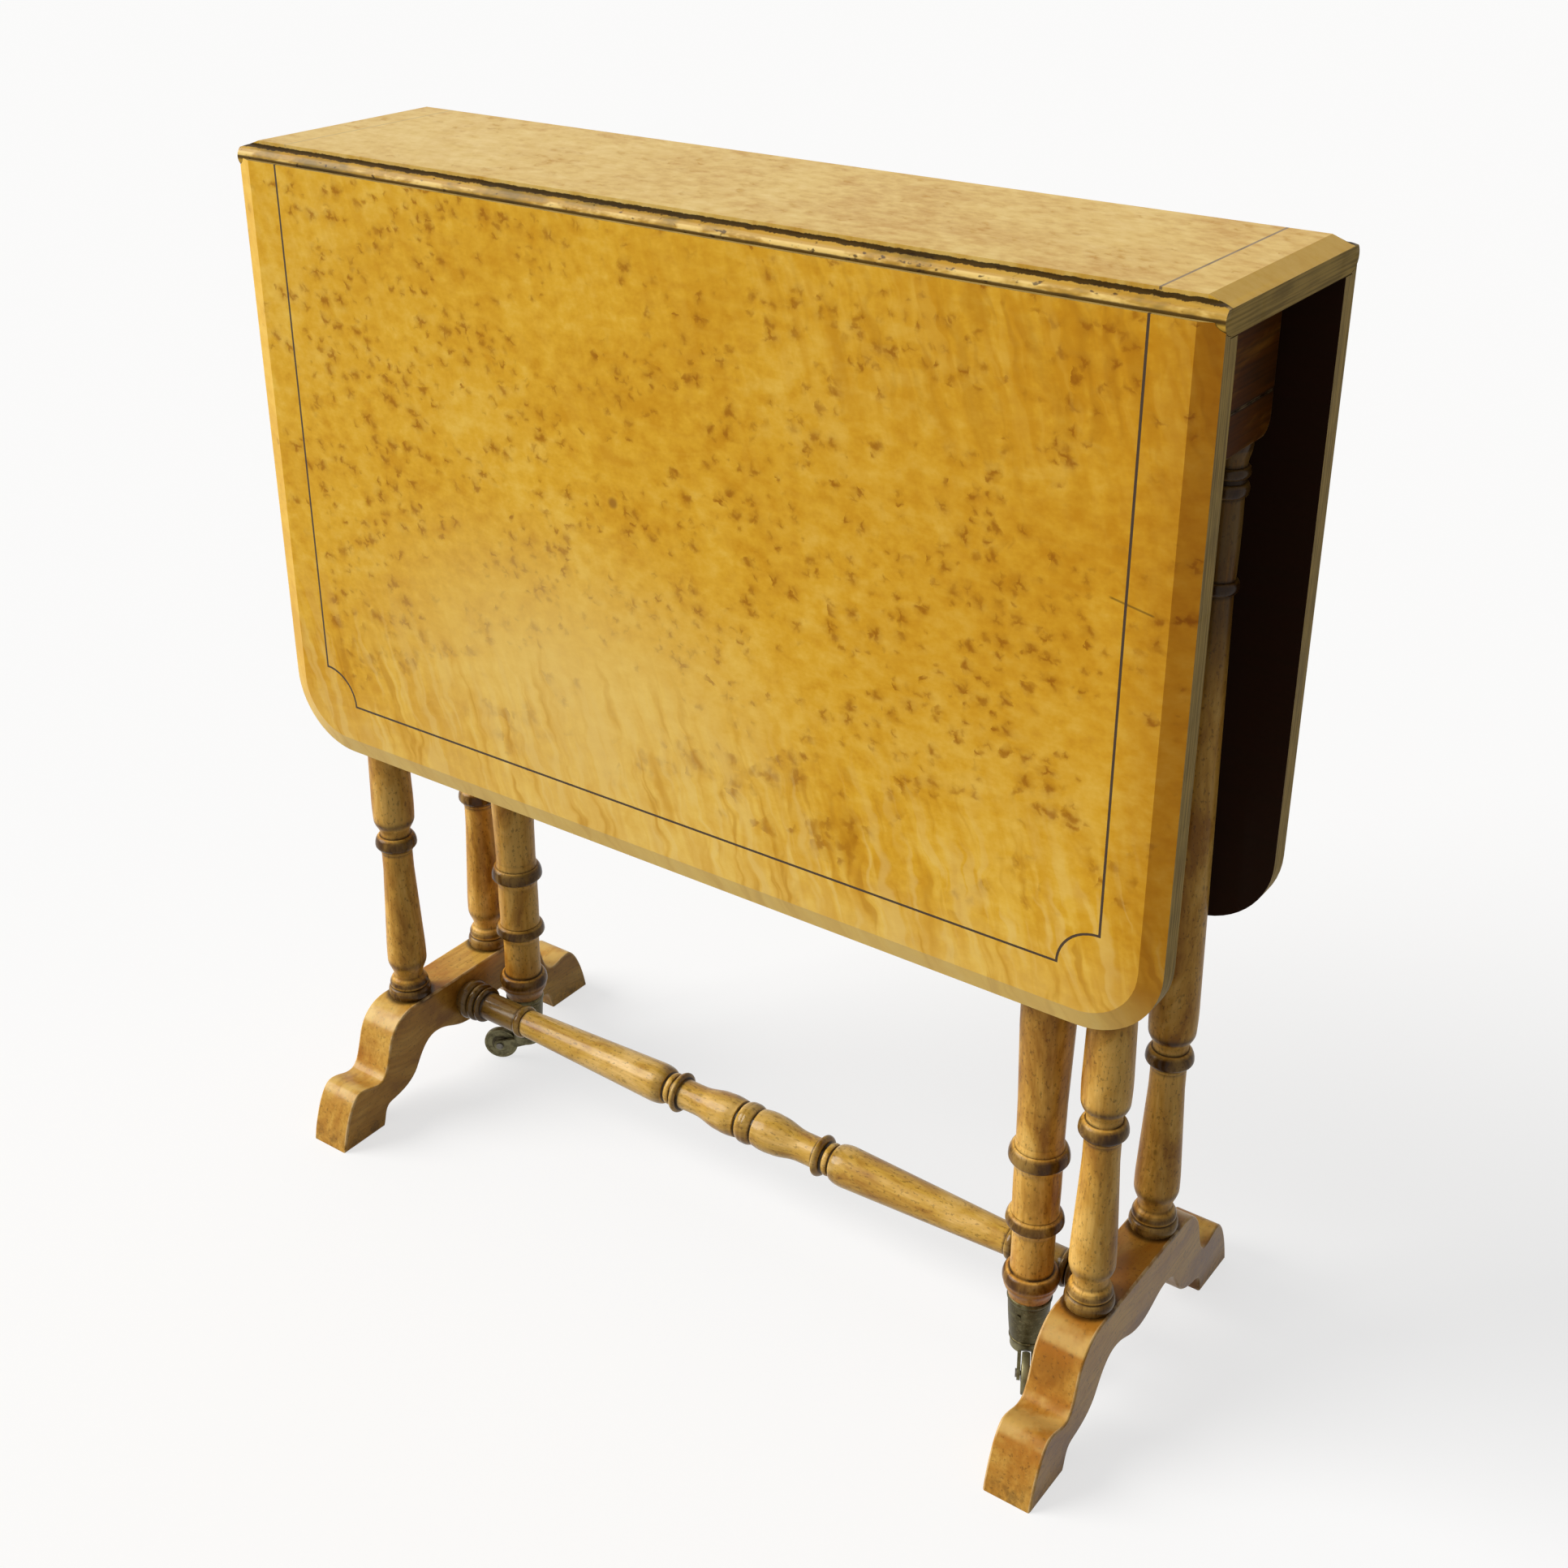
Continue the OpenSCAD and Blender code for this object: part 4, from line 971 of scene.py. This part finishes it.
def turn(bm, profile, place):
    """Spins a profile in millimetres round the place's Z axis; marks its hollows and rings."""
    profile = divide(thin_out(profile), LONGEST)
    even = divide(profile, EVEN)
    hollow = number_layer(bm.verts.layers, "hollow")
    proud = number_layer(bm.verts.layers, "ring")
    chain = []
    for r, t in profile:
        vert = bm.verts.new((r * MM, 0, t * MM))
        below = around(even, t, HOLLOW_REACH) - r
        above = r - around(even, t, RING_REACH) - RING_LEAST
        vert[hollow] = min(1, max(0, below / HOLLOW_DEPTH))
        vert[proud] = min(1, max(0, above / RING_HEIGHT))
        chain.append(vert)
    links = [bm.edges.new(pair) for pair in zip(chain, chain[1:])]
    before = set(bm.verts) - set(chain)
    bmesh.ops.spin(bm, geom=chain + links, cent=(0, 0, 0), axis=(0, 0, 1), dvec=(0, 0, 0),
                   angle=2 * math.pi, steps=sizes().steps_round, use_merge=True,
                   use_duplicate=False)
    made = [v for v in bm.verts if v not in before]
    bmesh.ops.remove_doubles(bm, verts=made, dist=WELD)
    made = [v for v in bm.verts if v not in before]
    spun = [face for face in bm.faces if face.verts[0] not in before]
    bmesh.ops.recalc_face_normals(bm, faces=spun)
    bmesh.ops.transform(bm, matrix=place, verts=made)


def slab(bm, outline, low, high):
    """Solid with this (y, z) outline from low to high along X."""
    face = bm.faces.new([bm.verts.new((low, y, z)) for y, z in outline])
    made = bmesh.ops.extrude_face_region(bm, geom=[face], use_keep_orig=True)
    moved = [v for v in made["geom"] if isinstance(v, bmesh.types.BMVert)]
    bmesh.ops.translate(bm, vec=(high - low, 0, 0), verts=moved)
    bmesh.ops.recalc_face_normals(bm, faces=bm.faces)


def upright(x, y, z):
    return Matrix.Translation((x, y, z))


def middle(node):
    lo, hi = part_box(node)
    return (Vector(lo) + Vector(hi)) / 2


# Pieces

class TABLE_OT_top(bpy.types.Operator):
    """Make the fixed top with its sloping ends, quarter rounds and inlaid lines"""
    bl_idname = "table.top"
    bl_label = "Fixed top"

    def execute(self, context):
        bm = node_copy("top_board")
        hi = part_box("top_board")[1]

        def border(p):
            on_top = abs(p.z - hi.z) < ON_EDGE and abs(abs(p.y) - FLAT_HALF) < ON_EDGE
            return abs(p.x) > hi.x - SLOPE_BORDER or on_top
        ease(bm, edges_in(bm, border), sizes().board_arris)
        piece("fixed_top", bm, "veneer_top", "top_board", weighted=True)
        dress("string_top", "top_stringing")
        return {"FINISHED"}


class TABLE_OT_leaves(bpy.types.Operator):
    """Make the two hanging leaves with their sloping edges, rounded corners and inlaid lines"""
    bl_idname = "table.leaves"
    bl_label = "Leaves"

    def execute(self, context):
        for side in SIDES:
            bm = node_copy(f"leaf_{side}")
            lo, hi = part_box(f"leaf_{side}")
            corner = Vector((hi.x - CORNER_CENTRE, lo.z + CORNER_CENTRE))

            def border(p):
                if p.z > hi.z - 2 * MM:
                    return False
                if abs(p.x) > corner.x and p.z < corner.y:
                    return (Vector((abs(p.x), p.z)) - corner).length > CORNER_BORDER
                return abs(p.x) > hi.x - SLOPE_BORDER or p.z < lo.z + SLOPE_BORDER
            ease(bm, edges_in(bm, border), sizes().board_arris)
            piece(f"leaf_board_{side}", bm, f"veneer_{side}", f"leaf_{side}", weighted=True)
            dress("string", f"stringing_{side}")
        return {"FINISHED"}


class TABLE_OT_rails(bpy.types.Operator):
    """Make the frieze blocks, cross rails, long rail and the wooden parts of the gates"""
    bl_idname = "table.rails"
    bl_label = "Rails and blocks"

    def execute(self, context):
        for end in ENDS:
            self.eased(f"frieze_block_{end}", "rail_y", 0)
            self.eased(f"trestle_rail_{end}", "rail_y", 0)
        self.eased("long_rail", "rail_x")
        for side in SIDES:
            self.eased(f"gate_block_{side}", "rail_x")
            self.eased(f"fly_rail_{side}", "rail_x")
        return {"FINISHED"}

    def eased(self, node, material, outline_axis=None):
        bm = node_copy(node)
        ease(bm, box_edges(bm, *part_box(node), outline_axis), sizes().rail_arris)
        piece(f"{node}_wood", bm, material, node, weighted=True)


class TABLE_OT_columns(bpy.types.Operator):
    """Turn the four columns between the feet and the cross rails"""
    bl_idname = "table.columns"
    bl_label = "Columns"

    def execute(self, context):
        profile = [(0, -20), (7, -20), (7, 0)] + bow(0, 14.6, 7.5, 14.6, 0.9)
        profile += bow(8.2, 13.4, 14, 12.6, 1) + flow(14, 12.6, 17.5, 10.6)
        profile += flow(18, 10.6, 31, 14.1) + bow(31, 14.1, 50, 13.6, 0.15)
        profile += bow(50, 13.6, 106, 11, 0) + [(11, 106), (10.9, 121.5), (11.7, 122.5)]
        profile += [(11.7, 124.2)] + ring(124.5, 127.8, 135, 10.9, 14.8)
        profile += [(10.8, 135), (10.6, 136.5)] + flow(137, 10.6, 148, 14.4)
        profile += bow(148, 14.4, 170, 14.6, 0.25) + bow(170, 14.6, 431, 9.4, 0)
        profile += bead(431, 439, 9.4, 12.2) + bow(439, 9.6, 486, 9.8, 0.4)
        profile += bead(486, 494, 9.8, 12.2) + bead(496.5, 503, 9.8, 12.2)
        profile += flow(503, 9.8, 516, 12) + [(12, 518), (7, 518), (7, 530), (0, 530)]
        for end in ENDS:
            for side in SIDES:
                node = f"column_{side}_{end}"
                at = middle(node)
                bm = bmesh.new()
                turn(bm, profile, upright(at.x, at.y, COLUMN_FOOT_Z))
                piece(f"column_{side}_{end}_wood", bm, "turned_column", node)
        return {"FINISHED"}


class TABLE_OT_feet(bpy.types.Operator):
    """Saw and round the two arched feet"""
    bl_idname = "table.feet"
    bl_label = "Feet"

    def execute(self, context):
        half = [(0, 84)] + bend((54, 84), (67, 84), (77, 76), (81, 64))
        half += bend((81, 64), (84.5, 53), (87, 38), (95, 38))
        half += bend((95, 38), (101, 37.5), (105, 41.5), (113, 41.5))
        half += bend((113, 41.5), (121.5, 41.5), (130, 22), (134, 0))
        half += bend((94, 0), (91, 6), (92, 15), (85, 16.5))
        half += bend((85, 16.5), (76, 18), (64, 20), (57, 30))
        half += bend((57, 30), (52, 38), (46, 50), (35, 50.2))
        half += bend((35, 50.2), (22, 50.4), (16, 41.5), (0, 41))
        half = thin_out(half)
        outline = half + [(-y, z) for y, z in reversed(half) if y > 0]
        outline = [(y * MM, z * MM) for y, z in outline]
        for end in ENDS:
            lo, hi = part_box(f"foot_{end}")
            bm = bmesh.new()
            slab(bm, outline, lo.x, hi.x)
            rim = [e for e in bm.edges if abs(e.verts[0].co.x - e.verts[1].co.x) < WELD]
            ease(bm, rim, sizes().foot_arris, 4)
            piece(f"foot_{end}_wood", bm, "foot", f"foot_{end}", weighted=True)
        return {"FINISHED"}


class TABLE_OT_stretcher(bpy.types.Operator):
    """Turn the stretcher between the feet"""
    bl_idname = "table.stretcher"
    bl_label = "Stretcher"

    def execute(self, context):
        half = bow(0, 14.6, 5.5, 13.2, 0.6) + [(13.2, 5.5), (12, 6.3), (12, 7.2)]
        half += bow(8, 13.3, 22, 13.9, 0.6) + flow(22, 13.9, 44, 10.65)
        half += bow(44, 10.65, 57, 10.8, -0.1) + ring(58, 60, 63.2, 11, 14.6) + [(10.6, 63.4)]
        half += bead(65.2, 69.6, 10.3, 11.6) + [(10.3, 69.6), (10.5, 70.6)]
        half += bend((11, 71.2), (13.4, 71.5), (14.2, 75.5), (14.35, 81))
        half += [(14.35, 81), (10.2, 204)] + bead(206, 212, 10.1, 12.2)
        half += [(10.3, 212), (10.3, 244.5)] + bead(245, 249.5, 10.6, 13.6)
        half += bead(250.5, 256.5, 11.2, 14.6) + bead(257, 265.5, 11.6, 15.3)
        half += [(12.6, 265.5), (12.6, 266.5), (8, 266.5), (8, 280), (0, 280)]
        profile = [(r, -t) for r, t in reversed(half) if t > 0] + half
        bm = bmesh.new()
        turn(bm, profile, upright(0, 0, STRETCHER_Z) @ Matrix.Rotation(math.pi / 2, 4, "Y"))
        piece("stretcher_wood", bm, "turned_stretcher", "stretcher")
        return {"FINISHED"}


class TABLE_OT_gate_legs(bpy.types.Operator):
    """Turn the two gate legs and shape their square blocks"""
    bl_idname = "table.gate_legs"
    bl_label = "Gate legs"

    def execute(self, context):
        profile = [(0, -30), (11, -30), (12, -1), (13.6, 0)] + flow(0.5, 13.8, 10.5, 17.2)
        profile += bow(10.5, 17.2, 13, 17.9, 0.1)
        profile += bend((17.9, 13), (18.2, 16.5), (16.6, 19.8), (13.9, 19.8))
        profile += bow(20, 13.5, 49, 13.4, -0.1) + flow(49, 13.4, 54.8, 14.8)
        profile += ring(55, 57.5, 64, 14.2, 18.1) + bow(64.3, 14.9, 70, 14.5, -0.1)
        profile += bow(70, 14.5, 97, 14.6, 0.1) + flow(97, 14.6, 102.6, 15.8)
        profile += ring(102.8, 105.5, 113.5, 14.8, 18.7) + bow(113.7, 15.2, 118, 14.6, -0.1)
        profile += [(14.5, 118), (14.8, 145), (16.4, 200)] + bow(201, 16.4, 508, 16.2, 0.4)
        profile += flow(508, 16.2, 520, 14.2) + bead(520, 529, 14.2, 16.6)
        profile += flow(529, 14.2, 538, 16.6) + [(14, 538), (14, 545), (0, 545)]
        for side in SIDES:
            node = f"gate_leg_{side}"
            at = middle(f"castor_cup_{side}")
            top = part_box(node)[1].z
            bm = bmesh.new()
            block = bmesh.ops.create_cube(bm, size=1)["verts"]
            bmesh.ops.scale(bm, vec=GATE_BLOCK, verts=block)
            bmesh.ops.translate(bm, vec=(at.x, at.y, top - GATE_BLOCK[2] / 2), verts=block)
            ease(bm, list(bm.edges), sizes().rail_arris)
            turn(bm, profile, upright(at.x, at.y, GATE_LEG_FOOT_Z))
            piece(f"gate_leg_{side}_wood", bm, "turned_gate", node, weighted=True)
        return {"FINISHED"}


class TABLE_OT_castors(bpy.types.Operator):
    """Make the castors: cups, horns, axles and wheels"""
    bl_idname = "table.castors"
    bl_label = "Castors"

    def execute(self, context):
        cup = [(0, 27), (9.6, 27), (9.9, 25), (10.7, 25)] + bead(25.2, 27.4, 11.0, 11.6)
        cup += [(11.3, 27.8)] + bow(28, 11.35, 55.5, 13.5, 0.25) + [(13.5, 55.8), (13.2, 56.2)]
        cup += bead(56.4, 59.8, 13.6, 14.2) + [(13.4, 60), (12.6, 60), (12.4, 58), (0, 58)]
        for side in SIDES:
            at = middle(f"castor_cup_{side}")
            bm = bmesh.new()
            turn(bm, cup, upright(at.x, at.y, 0))
            piece(f"castor_cup_{side}_metal", bm, "brass", f"castor_cup_{side}")
            self.wheel(side)
            dress("bronze", f"castor_horn_{side}")
            dress("steel", f"castor_axle_{side}")
            dress("brass", f"cup_screws_{side}")
        return {"FINISHED"}

    def wheel(self, side):
        joint = next(j for j in frame["joints"] if j["name"] == f"wheel_{side}_roll")
        to_axle = Vector(joint["axis"]).to_track_quat("Z", "Y").to_matrix().to_4x4()
        half = [(1.56, 2.8), (4.9, 2.8), (5.5, 2.4), (5.6, 2.0)] + bow(1.9, 6.0, 1.7, 10.0, 0)
        half += [(10.4, 1.9), (10.8, 2.4), (11.6, 2.5)]
        tread = [(12.3 + 0.7 * math.sin(math.radians(a)), 2.5 * math.cos(math.radians(a)))
                 for a in range(0, 181, 12)]
        profile = half + tread + [(r, -t) for r, t in reversed(half)] + [(1.56, 2.8)]
        bm = bmesh.new()
        turn(bm, profile, Matrix.Translation(Vector(joint["pos_m"])) @ to_axle)
        piece(f"castor_wheel_{side}_metal", bm, "bronze", f"castor_wheel_{side}")


class TABLE_OT_fittings(bpy.types.Operator):
    """Finish the hinges, pins and screws"""
    bl_idname = "table.fittings"
    bl_label = "Hinges, pins and screws"

    def execute(self, context):
        for place in ("top", *SIDES):
            dress("brass", f"hinge_plates_{place}", f"hinge_screws_{place}")
        dress("steel", "hinge_pins", "top_screws", "gate_block_screws", "gate_pin_front",
              "gate_pin_rear")
        return {"FINISHED"}


class TABLE_OT_stage(bpy.types.Operator):
    """Set up the pale floor, the soft light and the camera"""
    bl_idname = "table.stage"
    bl_label = "Stage"

    def execute(self, context):
        stage = context.scene.table_stage
        self.floor(stage)
        self.light(stage)
        self.camera(stage)
        context.scene.view_settings.view_transform = "Standard"
        return {"FINISHED"}

    def floor(self, stage):
        bm = bmesh.new()
        bmesh.ops.create_grid(bm, x_segments=2, y_segments=2, size=FLOOR_HALF)
        floor = object_of("floor", mesh_of("floor", bm))
        f = Finish("pale_floor", Specular_IOR_Level=0.0, Roughness=1.0)
        seen = f.seen()
        held_back = [c * (1 - stage.floor_glow) for c in stage.floor]
        shade = f.mix(seen, (*stage.floor_bounce, 1), (*held_back, 1))
        f.feed(f.shader.inputs["Emission Color"], (*stage.floor, 1))
        f.feed(f.shader.inputs["Emission Strength"], f.times(seen, stage.floor_glow))
        floor.data.materials.append(f.finish(shade, 1.0))

    def light(self, stage):
        key = bpy.data.lights.new("key", "SUN")
        key.energy = stage.key
        key.angle = SUN_ANGLE
        key.color = SUN_COLOUR
        lamp = object_of("key", key)
        lamp.rotation_mode = "QUATERNION"
        lamp.rotation_quaternion = SUN_FROM.to_track_quat("Z", "Y")
        world = bpy.data.worlds.new("studio")
        bpy.context.scene.world = world
        world.use_nodes = True
        w = Nodes(world.node_tree)
        toward_right = w.axes(w.node("ShaderNodeTexCoord").outputs["Generated"])[0]
        sky = w.step(toward_right, -0.3, 0.9, stage.sky, stage.sky * stage.far_side)
        glow = w.fill(w.node("ShaderNodeBackground"), WHITE, sky)[0]
        white = w.fill(w.node("ShaderNodeBackground"), WHITE, 1.0)[0]
        shown = w.fill(w.node("ShaderNodeMixShader"), w.seen(), glow, white)[0]
        w.fill(w.node("ShaderNodeOutputWorld"), shown)

    def camera(self, stage):
        camera = bpy.data.cameras.new("camera")
        camera.sensor_width = SENSOR_WIDTH
        camera.lens = stage.lens
        camera.shift_y = stage.shift
        camera.clip_end = CAMERA_REACH
        made = object_of("camera", camera)
        level = math.cos(stage.camera_rise)
        back = Vector((math.sin(stage.camera_turn) * level, -math.cos(stage.camera_turn) * level,
                       math.sin(stage.camera_rise)))
        made.location = Vector(stage.camera_target) + back * stage.camera_distance
        made.rotation_mode = "QUATERNION"
        made.rotation_quaternion = back.to_track_quat("Z", "Y")
        bpy.context.scene.camera = made


class TABLE_PT_panel(bpy.types.Panel):
    """Lists the table's pieces and settings"""
    bl_idname = "TABLE_PT_panel"
    bl_label = "Sutherland table"
    bl_space_type = "VIEW_3D"
    bl_region_type = "UI"
    bl_category = "Table"

    def draw(self, context):
        for operator in OPERATORS:
            self.layout.operator(operator.bl_idname)
        for group in GROUPS:
            settings = getattr(context.scene, group)
            column = self.layout.box().column()
            for name in settings.bl_rna.properties.keys():
                if name not in {"rna_type", "name"}:
                    column.prop(settings, name)


GROUPS = {"table_sizes": TableSizes, "table_colours": TableColours, "table_stage": StageSettings}
OPERATORS = (TABLE_OT_top, TABLE_OT_leaves, TABLE_OT_rails, TABLE_OT_columns, TABLE_OT_feet,
             TABLE_OT_stretcher, TABLE_OT_gate_legs, TABLE_OT_castors, TABLE_OT_fittings,
             TABLE_OT_stage)


def register():
    for group in GROUPS.values():
        bpy.utils.register_class(group)
    for name, group in GROUPS.items():
        setattr(bpy.types.Scene, name, bpy.props.PointerProperty(type=group))
    for cls in (*OPERATORS, TABLE_PT_panel):
        bpy.utils.register_class(cls)


def unregister():
    for cls in reversed((*OPERATORS, TABLE_PT_panel)):
        bpy.utils.unregister_class(cls)
    for name, group in GROUPS.items():
        delattr(bpy.types.Scene, name)
        bpy.utils.unregister_class(group)


def main():
    register()
    for operator in OPERATORS:
        area, name = operator.bl_idname.split(".")
        getattr(getattr(bpy.ops, area), name)()


if __name__ == "__main__":
    main()
